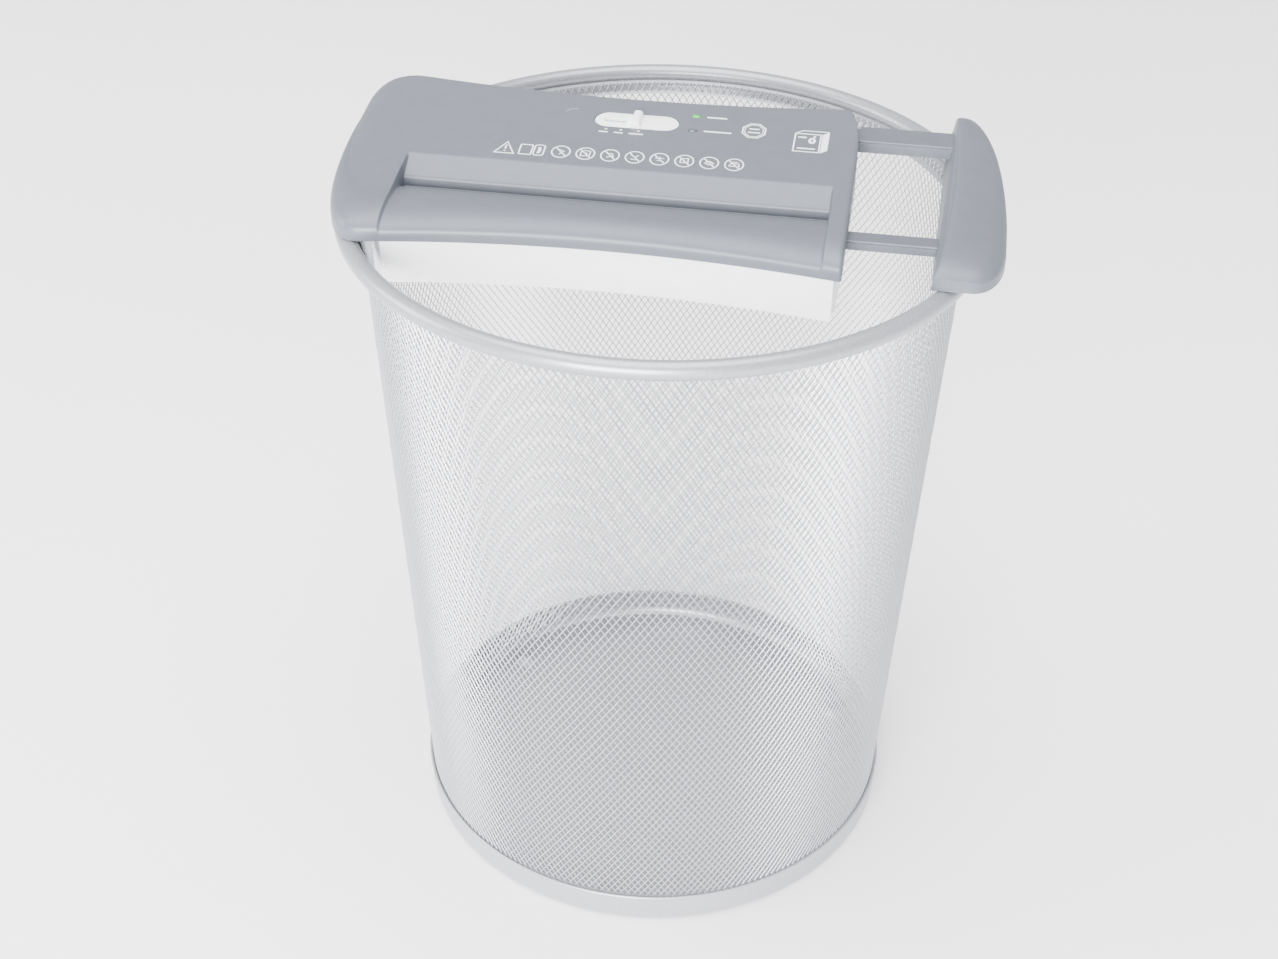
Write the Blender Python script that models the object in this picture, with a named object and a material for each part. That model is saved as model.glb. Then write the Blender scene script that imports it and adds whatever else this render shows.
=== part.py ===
"""Strip-cut paper shredder whose head rests on the rim of a round wire-mesh basket.

Sizes are in millimetres and become metres when a mesh is made. +Z is up, +X runs along the head
towards its extension arm and -Y faces the user. The origin is the centre of the basket's underside.
"""

import math

import bmesh
import bpy
from mathutils import Matrix, Vector

MM = 0.001
FINE = 48       # sides of a large round piece
ROUND = 24      # sides of a shaft or a bush
DRUM = 18       # sides of the cutting discs
SMALL = 12      # sides of a screw

# ---- driving sizes ----
BASKET_HEIGHT = 411.4       # floor to the top of the rim
SLOT_LENGTH = 224.0         # an A4 sheet is 210 wide
RIM_BEYOND_SLOT = 59.9      # rim radius less half the slot
RIM_TUBE = 5.0              # radius of the rolled rim
MESH_TAPER = 18.2           # how much wider the mesh is at the rim than at the pan
MESH_TO_RIM = 8.6           # from the top of the mesh out to the middle of the rim
MESH_SHEET = 1.5
PAN_SHEET = 1.2
PAN_HEIGHT = 20.0
PAN_FOOT = 4.0              # height of the pan's rounded foot
DIMPLE_ANGLES = (27, 144, -94)
GAP = 0.3                   # between pieces that touch
RUNNING = 0.06              # radial clearance of a shaft in its bush

COVER_WALL = 2.2
HOUSING_WALL = 2.4
SLOT_WIDTH = 6.5
SLOT_CENTRE_X = -22.5
SLOT_CENTRE_Y = -33.0
ARM_GAP = 48.5              # how far the arm is drawn out at rest

DISC_RADIUS = 14.0
DISC_OVERLAP = 2.0
STRIP = 7.0
DISC_SIDE_CLEARANCE = 0.2
SHAFT_RADIUS = 4.0
BUSH_WALL = 2.5
PLATE = 2.0
GEAR_WIDTH = 4.0
SYNC_TEETH = 26
DRIVE_TEETH = 40
IDLER_PINION_TEETH = 12
IDLER_WHEEL_TEETH = 36
MOTOR_TEETH = 9
MOTOR_RADIUS = 18.0
MOTOR_LENGTH = 57.0

FLANGE = 1.8                # plate of the head that rests on the rim
SKIRT_HEIGHT = 25.0
FLOOR_SLANT = 30.1
BASKET_CLEARANCE = 6.1      # between the housing and the top of the mesh cone
OUTLET_WIDTH = 18.0
PAD_SIZE = (6.0, 10.0)
PAD_Y = (-34.0, 34.0)
GLAND_RADIUS = 6.0
THROAT_OVER_AXIS = 10.8
SENSOR_WIDTH = 5.0
FINGER_CLEARANCE = 0.9
ROD_RADIUS = 2.0
AXLE_RADIUS = 2.0
MOTOR_SHAFT = 1.6
SYNC_WIDTH = 3.0

# ---- sizes that follow ----
RIM_RADIUS = SLOT_LENGTH / 2 + RIM_BEYOND_SLOT
RIM_Z = BASKET_HEIGHT - RIM_TUBE
MESH_TOP_RADIUS = RIM_RADIUS - MESH_TO_RIM
MESH_BASE_RADIUS = MESH_TOP_RADIUS - MESH_TAPER
SLOT_LEFT = SLOT_CENTRE_X - SLOT_LENGTH / 2
SLOT_RIGHT = SLOT_CENTRE_X + SLOT_LENGTH / 2
SEAT = BASKET_HEIGHT + GAP  # level of the head's underside

HEAD_LEFT = -(RIM_RADIUS + 1.6)
HEAD_RIGHT = SLOT_RIGHT + 9.6 + COVER_WALL
WAIST_X = SLOT_CENTRE_X + 2.5
FRONT_WAIST_Y = SLOT_CENTRE_Y - 35.8 - COVER_WALL
BACK_WAIST_Y = SLOT_CENTRE_Y + 90.5
FRONT_FLARE = 10.0          # how much deeper the ends are than the waist, at the front
BACK_FLARE = 7.0
FLARE_REACH = SLOT_LENGTH / 2 + 4.0
PANEL_HEIGHT = 19.0         # control panel above the seat, at the recess
PANEL_SLOPE = 0.105
RECESS_BACK_Y = SLOT_CENTRE_Y + 16.0
LIP_HEIGHT = 12.6
LIP_CREST_Y = SLOT_CENTRE_Y - 22.0
SLOT_LIP_HEIGHT = 10.0
SLOT_FLOOR_HEIGHT = 6.0

CUTTER_SPACING = 2 * DISC_RADIUS - DISC_OVERLAP
GEAR_MODULE = CUTTER_SPACING / SYNC_TEETH
CUTTER_Z = BASKET_HEIGHT - DISC_RADIUS - 3.4
TUB_DEPTH = DISC_RADIUS + 18.0     # cutter axis down to the housing's floor
FRONT_CUTTER_Y = SLOT_CENTRE_Y - CUTTER_SPACING / 2
REAR_CUTTER_Y = SLOT_CENTRE_Y + CUTTER_SPACING / 2
LEFT_PLATE_X = SLOT_LEFT - PLATE
RIGHT_PLATE_X = SLOT_RIGHT

HOUSING_RADIUS = MESH_TOP_RADIUS - BASKET_CLEARANCE
GLAND_X = SLOT_CENTRE_X + 10.0
GLAND_Z = CUTTER_Z + 2.0
SENSOR_X = SLOT_CENTRE_X + STRIP
SENSOR_PIVOT = (SLOT_CENTRE_Y + 10.0, SEAT + 1.0)
COVER_SCREW_X = HEAD_LEFT + 13.5
COVER_SCREW_Y = (SLOT_CENTRE_Y + 20.0, SLOT_CENTRE_Y + 52.0)


def pitch_radius(teeth):
    return GEAR_MODULE * teeth / 2


def polar(centre, distance, degrees):
    angle = math.radians(degrees)
    return (centre[0] + distance * math.cos(angle), centre[1] + distance * math.sin(angle))


IDLER_ANGLE = -20.0
MOTOR_ANGLE = 8.0
REAR_AXIS = (REAR_CUTTER_Y, CUTTER_Z)
FRONT_AXIS = (FRONT_CUTTER_Y, CUTTER_Z)
IDLER_AXIS = polar(REAR_AXIS, pitch_radius(DRIVE_TEETH) + pitch_radius(IDLER_PINION_TEETH), IDLER_ANGLE)
MOTOR_AXIS = polar(IDLER_AXIS, pitch_radius(IDLER_WHEEL_TEETH) + pitch_radius(MOTOR_TEETH), MOTOR_ANGLE)


# ---- building helpers ----
def clear_scene():
    for obj in list(bpy.data.objects):
        bpy.data.objects.remove(obj, do_unlink=True)


def srgb(value):
    """Linear colour of an sRGB hex string."""
    channels = []
    for start in (0, 2, 4):
        c = int(value[start:start + 2], 16) / 255
        channels.append(c / 12.92 if c <= 0.04045 else ((c + 0.055) / 1.055) ** 2.4)
    return (*channels, 1.0)


def finish(name, colour, roughness, metallic=0.0):
    made = bpy.data.materials.new(name)
    made.use_nodes = True
    shader = made.node_tree.nodes["Principled BSDF"]
    shader.inputs["Base Color"].default_value = srgb(colour)
    shader.inputs["Roughness"].default_value = roughness
    shader.inputs["Metallic"].default_value = metallic
    return made


def add(name, bm, material=None, origin=(0, 0, 0)):
    """Puts a bmesh made in millimetres into the scene, with its origin where the piece turns or seats."""
    bmesh.ops.recalc_face_normals(bm, faces=bm.faces)
    move = Matrix.Translation(-Vector(origin))
    bmesh.ops.transform(bm, matrix=Matrix.Scale(MM, 4) @ move, verts=bm.verts)
    mesh = bpy.data.meshes.new(name)
    bm.to_mesh(mesh)
    bm.free()
    obj = bpy.data.objects.new(name, mesh)
    obj.location = Vector(origin) * MM
    bpy.context.scene.collection.objects.link(obj)
    if material:
        mesh.materials.append(material)
    mesh.shade_smooth()
    mesh.set_sharp_from_angle(angle=math.radians(35))
    return obj


def boolean(obj, other, operation):
    """Cuts, joins or keeps the overlap of another shape, which then stays out of the model."""
    modifier = obj.modifiers.new(other.name, "BOOLEAN")
    modifier.operation = operation
    modifier.object = other
    other.hide_render = True
    other.display_type = "WIRE"
    return obj


def placed(axis, a, b, along):
    """A point from its place across an axis and along it."""
    if axis == "X":
        return (along, a, b)
    if axis == "Y":
        return (a, along, b)
    return (a, b, along)


def skinned(loops):
    """A closed solid through loops of as many points each, capped at both ends."""
    bm = bmesh.new()
    rows = [[bm.verts.new(point) for point in loop] for loop in loops]
    count = len(rows[0])
    for low, high in zip(rows, rows[1:]):
        for i in range(count):
            j = (i + 1) % count
            bm.faces.new((low[i], low[j], high[j], high[i]))
    bm.faces.new(list(reversed(rows[0])))
    bm.faces.new(rows[-1])
    return bm


def prism(outline, low, high, axis="X"):
    """An outline drawn across an axis and drawn out along it."""
    return skinned([[placed(axis, a, b, along) for a, b in outline] for along in (low, high)])


def box(low, high):
    outline = [(low[0], low[1]), (high[0], low[1]), (high[0], high[1]), (low[0], high[1])]
    return prism(outline, low[2], high[2], "Z")


def circle(radius, steps, centre=(0, 0), turn=0.0):
    return [
        (
            centre[0] + radius * math.cos(turn + 2 * math.pi * i / steps),
            centre[1] + radius * math.sin(turn + 2 * math.pi * i / steps),
        )
        for i in range(steps)
    ]


def hole(radius, clearance, steps):
    """Radius of a many-sided hole whose flats stay clear of a shaft."""
    return (radius + clearance) / math.cos(math.pi / steps)


def rod(radius, low, high, centre, steps, axis="X"):
    return prism(circle(radius, steps, centre), low, high, axis)


def turned_ring(profile, steps):
    """A closed profile of (radius, height) turned about Z."""
    bm = bmesh.new()
    rows = []
    for i in range(steps):
        angle = 2 * math.pi * i / steps
        rows.append([bm.verts.new((r * math.cos(angle), r * math.sin(angle), z)) for r, z in profile])
    for i, row in enumerate(rows):
        after = rows[(i + 1) % steps]
        for j in range(len(profile)):
            k = (j + 1) % len(profile)
            bm.faces.new((row[j], row[k], after[k], after[j]))
    return bm


def turned_bar(profile, centre, steps):
    """A profile of (radius, X), both ends closed flat, turned about a line along X."""
    loops = [[placed("X", a, b, x) for a, b in circle(r, steps, centre)] for r, x in profile]
    return skinned(loops)


def arc(centre, radius, start, end, steps):
    return [
        polar(centre, radius, start + (end - start) * i / steps)
        for i in range(steps + 1)
    ]


def mixed(a, b, share):
    return a + (b - a) * share


# ---- basket ----
def mesh_radius(z):
    """Outer radius of the mesh cone."""
    share = (z - PAN_HEIGHT) / (RIM_Z - PAN_HEIGHT)
    return mixed(MESH_BASE_RADIUS, MESH_TOP_RADIUS, share)


def base_pan(material):
    """Pressed cup with a flat floor, a band round the foot of the mesh and three raised dimples."""
    band_top = mesh_radius(PAN_HEIGHT) + GAP + PAN_SHEET
    band_foot = mesh_radius(PAN_FOOT) + GAP + PAN_SHEET
    profile = [
        (band_foot - 2.4, 0.0),
        (band_foot, PAN_FOOT),
        (band_top, PAN_HEIGHT),
        (band_top - PAN_SHEET, PAN_HEIGHT),
        (band_foot - PAN_SHEET, PAN_FOOT),
        (band_foot - 2.4 - PAN_SHEET / 2, PAN_SHEET),
    ]
    loops = [[(a, b, z) for a, b in circle(radius, FINE)] for radius, z in profile]
    pan = add("base_pan", skinned(loops), material)
    for index, degrees in enumerate(DIMPLE_ANGLES):
        centre = polar((0, 0), band_foot - 18.0, degrees)
        dimple = skinned([
            [(a, b, z) for a, b in circle(radius, SMALL, centre)]
            for radius, z in ((7.0, PAN_SHEET / 2), (7.0, PAN_SHEET), (5.5, 2.9), (3.0, 3.4))
        ])
        boolean(pan, add(f"dimple_{index}", dimple), "UNION")
    return pan


def mesh_wall(material):
    """Cone of wire mesh, flaring under the rim, with its foot inside the pan's band."""
    foot = PAN_FOOT + 1.0
    flare = RIM_RADIUS - RIM_TUBE - GAP
    curl = RIM_Z - 8.0
    outer = [(mesh_radius(foot), foot), (mesh_radius(curl), curl), (flare, RIM_Z + 1.0)]
    inner = [(r - MESH_SHEET, z) for r, z in reversed(outer)]
    return add("mesh_wall", turned_ring(outer + inner, FINE), material)


def rim_tube(material):
    profile = [(RIM_RADIUS + a, RIM_Z + b) for a, b in circle(RIM_TUBE, 12)]
    return add("rim_tube", turned_ring(profile, FINE), material)


# ---- plan outline of the head ----
def front_edge(x, inset=0.0):
    return FRONT_WAIST_Y - FRONT_FLARE * ((x - WAIST_X) / FLARE_REACH) ** 2 + inset


def back_edge(x, inset=0.0):
    return BACK_WAIST_Y + BACK_FLARE * ((x - WAIST_X) / FLARE_REACH) ** 2 - inset


def panel_height(y):
    return PANEL_HEIGHT + PANEL_SLOPE * (y - RECESS_BACK_Y)


def end_share(distance, radius):
    """How much of a rounded edge's height is left at a distance from the outline."""
    inward = min(max(distance, 0.0), radius)
    return radius - math.sqrt(radius ** 2 - (radius - inward) ** 2)


LEFT_CORNER = 26.0          # how far along the head its left end is rounded in plan
LEFT_CORNER_FRONT = 3.0     # depth of that rounding, as a multiple, at the front and at the back
LEFT_CORNER_BACK = 1.4
RIGHT_CORNER = 9.0
RIGHT_CORNER_BACK = 6.0
LEFT_CREST_SHIFT = 92.0     # how far back the top of the front roll moves at the left end
TOP_ROUNDING = 3.0


def cover_edges(x, wall):
    """Front and back of the cover's plan outline, a wall inside the skin."""
    from_left = x - HEAD_LEFT - wall
    from_right = HEAD_RIGHT - wall - x
    rounding = end_share(from_left, LEFT_CORNER)
    front = front_edge(x, wall) + LEFT_CORNER_FRONT * rounding
    back = back_edge(x, wall) - LEFT_CORNER_BACK * rounding
    back -= RIGHT_CORNER_BACK * end_share(from_right, RIGHT_CORNER)
    return front, back


def cover_section(x, wall):
    """Outline of the cover across X: front edge, roll, lip, slot, recess, panel and back.

    A wall above zero gives the hollow inside, that much inside the skin.
    """
    front, back = cover_edges(x, wall)
    from_left = x - HEAD_LEFT - wall
    drop = 0.45 * end_share(from_left, 12.0) + wall
    inside_slot = SLOT_LEFT - 2.0 < x < SLOT_RIGHT + 1.6
    shift = LEFT_CREST_SHIFT * end_share(from_left, LEFT_CORNER) / LEFT_CORNER
    crest = min(LIP_CREST_Y + shift, mixed(front, back, 0.75))
    roll = crest - front
    top = (LIP_HEIGHT if inside_slot else panel_height(crest)) - drop
    points = [(front, -8.0 if wall else 0.0)]
    for degrees in (0, 20, 40, 60, 75, 90):
        angle = math.radians(degrees)
        points.append((front + roll * (1 - math.cos(angle)), 0.35 * top + 0.65 * top * math.sin(angle)))
    slot_front = SLOT_CENTRE_Y - SLOT_WIDTH / 2 - 1.4 - wall
    slot_back = SLOT_CENTRE_Y + SLOT_WIDTH / 2 + 1.0 + wall
    recess_back = RECESS_BACK_Y + 0.6 * wall
    recess = [
        (mixed(LIP_CREST_Y, slot_front, 0.5), LIP_HEIGHT - 0.6),
        (slot_front, SLOT_LIP_HEIGHT),
        (slot_front + 0.6, SLOT_FLOOR_HEIGHT),
        (slot_back - 0.4, SLOT_FLOOR_HEIGHT),
        (slot_back, SLOT_LIP_HEIGHT + 1.5),
        (recess_back, PANEL_HEIGHT - 0.8),
        (recess_back + 1.0, PANEL_HEIGHT),
    ]
    if inside_slot:
        points += [(y, z - drop) for y, z in recess]
    last = RECESS_BACK_Y + 1.0
    flat = back_edge(x, wall) - TOP_ROUNDING
    plain = [] if inside_slot else [y for y, z in recess]
    plain += [mixed(last, flat, 0.33), mixed(last, flat, 0.66)]
    for y in plain:
        # Where an end narrows the outline, the points between the roll and the back close up evenly.
        share = (y - LIP_CREST_Y) / (flat - LIP_CREST_Y)
        closed_up = mixed(crest, back - TOP_ROUNDING, share)
        points.append((closed_up, panel_height(closed_up) - drop))
    high = panel_height(back) - drop
    for degrees in (90, 45, 0):
        angle = math.radians(degrees)
        points.append((
            back - TOP_ROUNDING + TOP_ROUNDING * math.cos(angle),
            high - TOP_ROUNDING + TOP_ROUNDING * math.sin(angle),
        ))
    points.append((back, -8.0 if wall else 0.0))
    return points


def cover_stations(left, right):
    edge = (0.0, 1.2, 3.5, 8.0, 15.0, 22.0)
    stations = [left + step for step in edge]
    stations += [SLOT_LEFT - 2.6, SLOT_LEFT - 1.4]
    span = (-0.42, -0.25, 0.0, 0.25, 0.42)
    stations += [SLOT_CENTRE_X + share * SLOT_LENGTH for share in span]
    stations += [SLOT_RIGHT + 1.2, SLOT_RIGHT + 2.0]
    stations += [right - 6.0, right - 2.0, right]
    return stations


def cover_solid(wall):
    left = HEAD_LEFT + wall
    right = HEAD_RIGHT - wall
    loops = []
    for x in cover_stations(left, right):
        loops.append([(x, y, SEAT + z) for y, z in cover_section(x, wall)])
    return skinned(loops)


# ---- control panel ----
SWITCH_X = WAIST_X - 0.5
SWITCH_Y = SLOT_CENTRE_Y + 67.0
TRACK_LENGTH = 47.0
TRACK_WIDTH = 16.0
TRACK_DEPTH = 2.0
KNOB_TRAVEL = 16.5
KNOB_WIDTH = 5.0
KNOB_HEIGHT = 3.0
GROOVE_WIDTH = 4.0
NECK = 3.2
LED_X = SWITCH_X + 31.5
LED_GAP = 15.0
LED_SIZE = (5.0, 2.8)


def panel_matrix(x, y, depth=0.0):
    """Frame lying on the panel, with its Z square to it and its origin a depth below the surface."""
    tilt = math.atan(PANEL_SLOPE)
    place = Matrix.Translation((x, y, SEAT + panel_height(y)))
    return place @ Matrix.Rotation(tilt, 4, "X") @ Matrix.Translation((0, 0, -depth))


def on_panel(bm, x, y, depth=0.0):
    bmesh.ops.transform(bm, matrix=panel_matrix(x, y, depth), verts=bm.verts)
    return bm


def stadium(length, width, steps=8):
    radius = width / 2
    reach = length / 2 - radius
    return arc((reach, 0), radius, -90, 90, steps) + arc((-reach, 0), radius, 90, 270, steps)


def rounded(length, width, radius, steps=3):
    a = length / 2 - radius
    b = width / 2 - radius
    corners = (((a, -b), -90), ((a, b), 0), ((-a, b), 90), ((-a, -b), 180))
    points = []
    for centre, start in corners:
        points += arc(centre, radius, start, start + 90, steps)
    return points


def top_cover(material):
    cover = add("top_cover", cover_solid(0.0), material)
    boolean(cover, add("cover_hollow", cover_solid(COVER_WALL)), "DIFFERENCE")
    slot = box(
        (SLOT_LEFT, SLOT_CENTRE_Y - SLOT_WIDTH / 2, SEAT - 9),
        (SLOT_RIGHT, SLOT_CENTRE_Y + SLOT_WIDTH / 2, SEAT + SLOT_FLOOR_HEIGHT + 1),
    )
    boolean(cover, add("slot_cut", slot), "DIFFERENCE")
    window = on_panel(prism(stadium(TRACK_LENGTH, TRACK_WIDTH), -6, 3, "Z"), SWITCH_X, SWITCH_Y)
    boolean(cover, add("switch_window", window), "DIFFERENCE")
    for index, y in enumerate(led_rows()):
        bm = prism(rounded(LED_SIZE[0], LED_SIZE[1], 1.2), -6, 3, "Z")
        boolean(cover, add(f"led_window_{index}", on_panel(bm, LED_X, y)), "DIFFERENCE")
    for name, low, high in rail_sections():
        opening = box(
            (HEAD_RIGHT - 5 * COVER_WALL, low[0] - GAP, low[1] - GAP),
            (HEAD_RIGHT + 3, high[0] + GAP, high[1] + GAP),
        )
        boolean(cover, add(f"{name}_opening", opening), "DIFFERENCE")
    return cover


def led_rows():
    middle = SWITCH_Y + 2.0
    return (middle + LED_GAP / 2, middle - LED_GAP / 2)


def switch_track(material):
    """White oval insert in the panel's window, with the groove that the knob's neck runs in."""
    length = TRACK_LENGTH - 2 * GAP
    width = TRACK_WIDTH - 2 * GAP
    bm = on_panel(prism(stadium(length, width), -TRACK_DEPTH, 0, "Z"), SWITCH_X, SWITCH_Y, 0.4)
    track = add("switch_track", bm, material)
    low = -KNOB_TRAVEL - NECK / 2 - GAP
    high = NECK / 2 + GAP
    groove = box((low, -GROOVE_WIDTH / 2, -4), (high, GROOVE_WIDTH / 2, 2))
    return boolean(track, add("track_groove", on_panel(groove, SWITCH_X, SWITCH_Y)), "DIFFERENCE")


def mode_slider(material):
    """Ridge that the finger moves, with a neck through the groove and a strip that closes it below."""
    top = 0.4 - GAP
    width = TRACK_WIDTH - 2.4   # clears the window's round end when the knob is at its stop
    ridge = [(-KNOB_WIDTH / 2, -top), (KNOB_WIDTH / 2, -top), (KNOB_WIDTH / 2 - 0.8, KNOB_HEIGHT - 0.6)]
    ridge += [(KNOB_WIDTH / 2 - 1.5, KNOB_HEIGHT), (-KNOB_WIDTH / 2 + 1.5, KNOB_HEIGHT)]
    ridge += [(-KNOB_WIDTH / 2 + 0.8, KNOB_HEIGHT - 0.6)]
    origin = panel_matrix(SWITCH_X, SWITCH_Y).translation
    bm = on_panel(prism(ridge, -width / 2, width / 2, "Y"), SWITCH_X, SWITCH_Y)
    slider = add("mode_slider", bm, material, origin)
    under = 0.4 + TRACK_DEPTH + GAP
    neck = box((-NECK / 2, -NECK / 2, -under - 0.5), (NECK / 2, NECK / 2, 0.5))
    boolean(slider, add("slider_neck", on_panel(neck, SWITCH_X, SWITCH_Y)), "UNION")
    strip_width = GROOVE_WIDTH + 2.4
    left = KNOB_TRAVEL + 3.0
    strip = box((-left, -strip_width / 2, -under - 1.2), (left, strip_width / 2, -under))
    boolean(slider, add("slider_strip", on_panel(strip, SWITCH_X, SWITCH_Y)), "UNION")
    return slider


BOARD_DEPTH = 12.0
BOARD_SIZE = (96.0, 24.0)
SWITCH_BODY_HEIGHT = 5.0


def control_parts(board, plastic, green, amber):
    """Circuit board under the panel, the slide switch it carries and the two lamps' lenses."""
    centre_y = SWITCH_Y - 4.5
    bm = on_panel(prism(rounded(*BOARD_SIZE, 2.0), -1.6, 0, "Z"), SWITCH_X + 4, centre_y, BOARD_DEPTH)
    add("control_board", bm, board)
    lift = -BOARD_DEPTH + GAP
    middle_x = SWITCH_X - KNOB_TRAVEL / 2
    body = box((-10, -3.5, lift), (10, 3.5, lift + SWITCH_BODY_HEIGHT))
    switch = add("slide_switch", on_panel(body, middle_x, SWITCH_Y), plastic)
    tabs = box((-13, -2.5, lift), (13, 2.5, lift + 1.2))
    boolean(switch, add("switch_tabs", on_panel(tabs, middle_x, SWITCH_Y)), "UNION")
    for name, y, material in zip(("ready_lens", "warning_lens"), led_rows(), (green, amber)):
        size = (LED_SIZE[0] - 2 * GAP, LED_SIZE[1] - 2 * GAP)
        bm = prism(rounded(*size, 1.0), -5.0, 0.3, "Z")
        add(name, on_panel(bm, LED_X, y), material)


# ---- extension arm ----
RAIL_INSIDE = 42.0          # length of rail that stays in the cover
CAP_WIDTH = 32.0
CAP_WALL = 2.4
CAP_STATIONS = (0.0, 0.04, 0.12, 0.25, 0.45, 0.65, 0.8, 0.92, 1.0)
CAP_INNER_X = HEAD_RIGHT + ARM_GAP
ARM_IN = ARM_GAP - 5.0
REAR_RAIL_BACK = BACK_WAIST_Y - COVER_WALL - GAP
FRONT_RAIL = (SLOT_CENTRE_Y - 19.0, SLOT_CENTRE_Y - 8.2, 2.6, SLOT_LIP_HEIGHT - COVER_WALL)
REAR_RAIL = (REAR_RAIL_BACK - 16.0, REAR_RAIL_BACK + 2.8, 13.8, 20.6)


def rail_sections():
    """Name, low corner and high corner (Y, Z) of each rail, both measured from the slot and the seat."""
    made = []
    for name, (low_y, high_y, low_z, high_z) in (("front_rail", FRONT_RAIL), ("rear_rail", REAR_RAIL)):
        made.append((name, (low_y, SEAT + low_z), (high_y, SEAT + high_z)))
    return made


def cap_section(x, wall, left, right):
    """Outline of the end cap across X: straight sides, rounded over the top and down to its outer end."""
    out = (x - left) / (right - left)
    front = front_edge(HEAD_RIGHT) + wall
    back = back_edge(HEAD_RIGHT) + 10.0 - wall
    reach = right - x
    front += 2.1 * end_share(reach, 16.0)
    back -= 4.4 * end_share(reach, 26.0)
    near = x - left
    drop = 5.0 * out ** 2 + 0.5 * end_share(reach, 8.0) + 0.35 * end_share(near, 6.0) + wall
    points = [(front, -8.0 if wall else 0.0)]
    depth = back - front
    for share, height in ((0.0, 0.45), (0.02, 0.72), (0.06, 0.9), (0.13, 1.0)):
        y = front + share * depth
        points.append((y, height * (panel_height(y) - drop)))
    for share in (0.35, 0.6, 0.82):
        y = front + share * depth
        points.append((y, panel_height(y) - drop))
    for share, height in ((0.93, 0.97), (0.98, 0.85), (1.0, 0.55)):
        y = front + share * depth
        points.append((y, height * (panel_height(y) - drop)))
    points.append((back, -8.0 if wall else 0.0))
    return points


def cap_solid(wall):
    left = CAP_INNER_X + wall
    right = CAP_INNER_X + CAP_WIDTH - wall
    loops = []
    for share in CAP_STATIONS:
        x = mixed(left, right, share)
        loops.append([(x, y, SEAT + z) for y, z in cap_section(x, wall, left, right)])
    return skinned(loops)


SCREW_HEAD = 3.2
SCREW_SHANK = 1.5
SCREW_LENGTH = 10.0
SCREW_HEAD_HEIGHT = 2.0


def screw(name, material, head, direction, shank_length=SCREW_LENGTH):
    """Pan-head screw. Head is the point under its head and direction is the way its shank goes."""
    bm = skinned([
        [(a, b, z) for a, b in circle(radius, SMALL)]
        for radius, z in (
            (SCREW_SHANK * 0.4, -shank_length),
            (SCREW_SHANK, -shank_length + 1.5),
            (SCREW_SHANK, 0.0),
        )
    ])
    cap = skinned([
        [(a, b, z) for a, b in circle(radius, SMALL)]
        for radius, z in (
            (SCREW_SHANK, -0.2), (SCREW_SHANK, 0.0), (SCREW_HEAD, 0.0),
            (SCREW_HEAD, 1.2), (SCREW_HEAD * 0.7, SCREW_HEAD_HEIGHT),
        )
    ])
    turn = Vector((0, 0, -1)).rotation_difference(Vector(direction)).to_matrix().to_4x4()
    placing = Matrix.Translation(head) @ turn
    bmesh.ops.transform(bm, matrix=placing, verts=bm.verts)
    bmesh.ops.transform(cap, matrix=placing, verts=cap.verts)
    made = add(name, bm, material)
    return boolean(made, add(f"{name}_head", cap), "UNION")


def screw_hole(obj, name, head, direction, length):
    """Clearance hole for a screw, from under its head."""
    bm = prism(circle(hole(SCREW_SHANK, 0.2, SMALL), SMALL), -length, 0.6, "Z")
    turn = Vector((0, 0, -1)).rotation_difference(Vector(direction)).to_matrix().to_4x4()
    bmesh.ops.transform(bm, matrix=Matrix.Translation(head) @ turn, verts=bm.verts)
    return boolean(obj, add(name, bm), "DIFFERENCE")


def screw_rows(low, high):
    """One screw in a narrow rail, two in a wide one."""
    middle = (low + high) / 2
    quarter = (high - low) / 4
    if quarter < SCREW_HEAD + GAP:
        return (middle,)
    return (middle - quarter, middle + quarter)


def extension_arm(plastic, steel, rubber):
    """Two rails that slide in the cover and the cap that carries their outer ends on the rim."""
    cap = add("end_cap", cap_solid(0.0), plastic)
    boolean(cap, add("cap_hollow", cap_solid(CAP_WALL)), "DIFFERENCE")
    for name, low, high in rail_sections():
        bm = box(
            (HEAD_RIGHT - RAIL_INSIDE, low[0], low[1]),
            (CAP_INNER_X - GAP, high[0], high[1]),
        )
        rail = add(name, bm, plastic)
        relief = box(
            (HEAD_RIGHT - RAIL_INSIDE - 1, REAR_RAIL_BACK - GAP, SEAT + REAR_RAIL[2] - 1),
            (HEAD_RIGHT - 0.5, BACK_WAIST_Y + 9, SEAT + REAR_RAIL[3] + 1),
        )
        if name == "rear_rail":
            boolean(rail, add("rail_relief", relief), "DIFFERENCE")
        middle_z = (low[1] + high[1]) / 2
        for index, y in enumerate(screw_rows(low[0], high[0])):
            head = (CAP_INNER_X + CAP_WALL + 0.5, y, middle_z)
            label = f"{name}_screw_{index + 1}"
            screw(label, steel, head, (-1, 0, 0), SCREW_LENGTH)
            screw_hole(cap, f"{label}_cap_hole", head, (-1, 0, 0), SCREW_LENGTH + 1)
            screw_hole(rail, f"{label}_hole", head, (-1, 0, 0), SCREW_LENGTH + 1)
    plate = add("cap_base", skinned(cap_base_loops()), plastic)
    for index, y in enumerate(PAD_Y):
        x = math.sqrt(RIM_RADIUS ** 2 - y ** 2) - 1.0
        seat_pad(f"arm_pad_{index + 1}", plate, (x, y), rubber)


def cap_base_loops():
    """Flat plate that closes the cap underneath, clear of its walls."""
    inset = CAP_WALL + 2 * GAP
    left = CAP_INNER_X + inset
    right = CAP_INNER_X + CAP_WIDTH - inset
    edges = []
    for share in CAP_STATIONS:
        x = mixed(left, right, share)
        section = cap_section(x, inset, left, right)
        edges.append((x, section[0][0], section[-1][0]))
    outline = [(x, low) for x, low, high in edges] + [(x, high) for x, low, high in reversed(edges)]
    return [[(a, b, z) for a, b in outline] for z in (SEAT, SEAT + FLANGE)]


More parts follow.
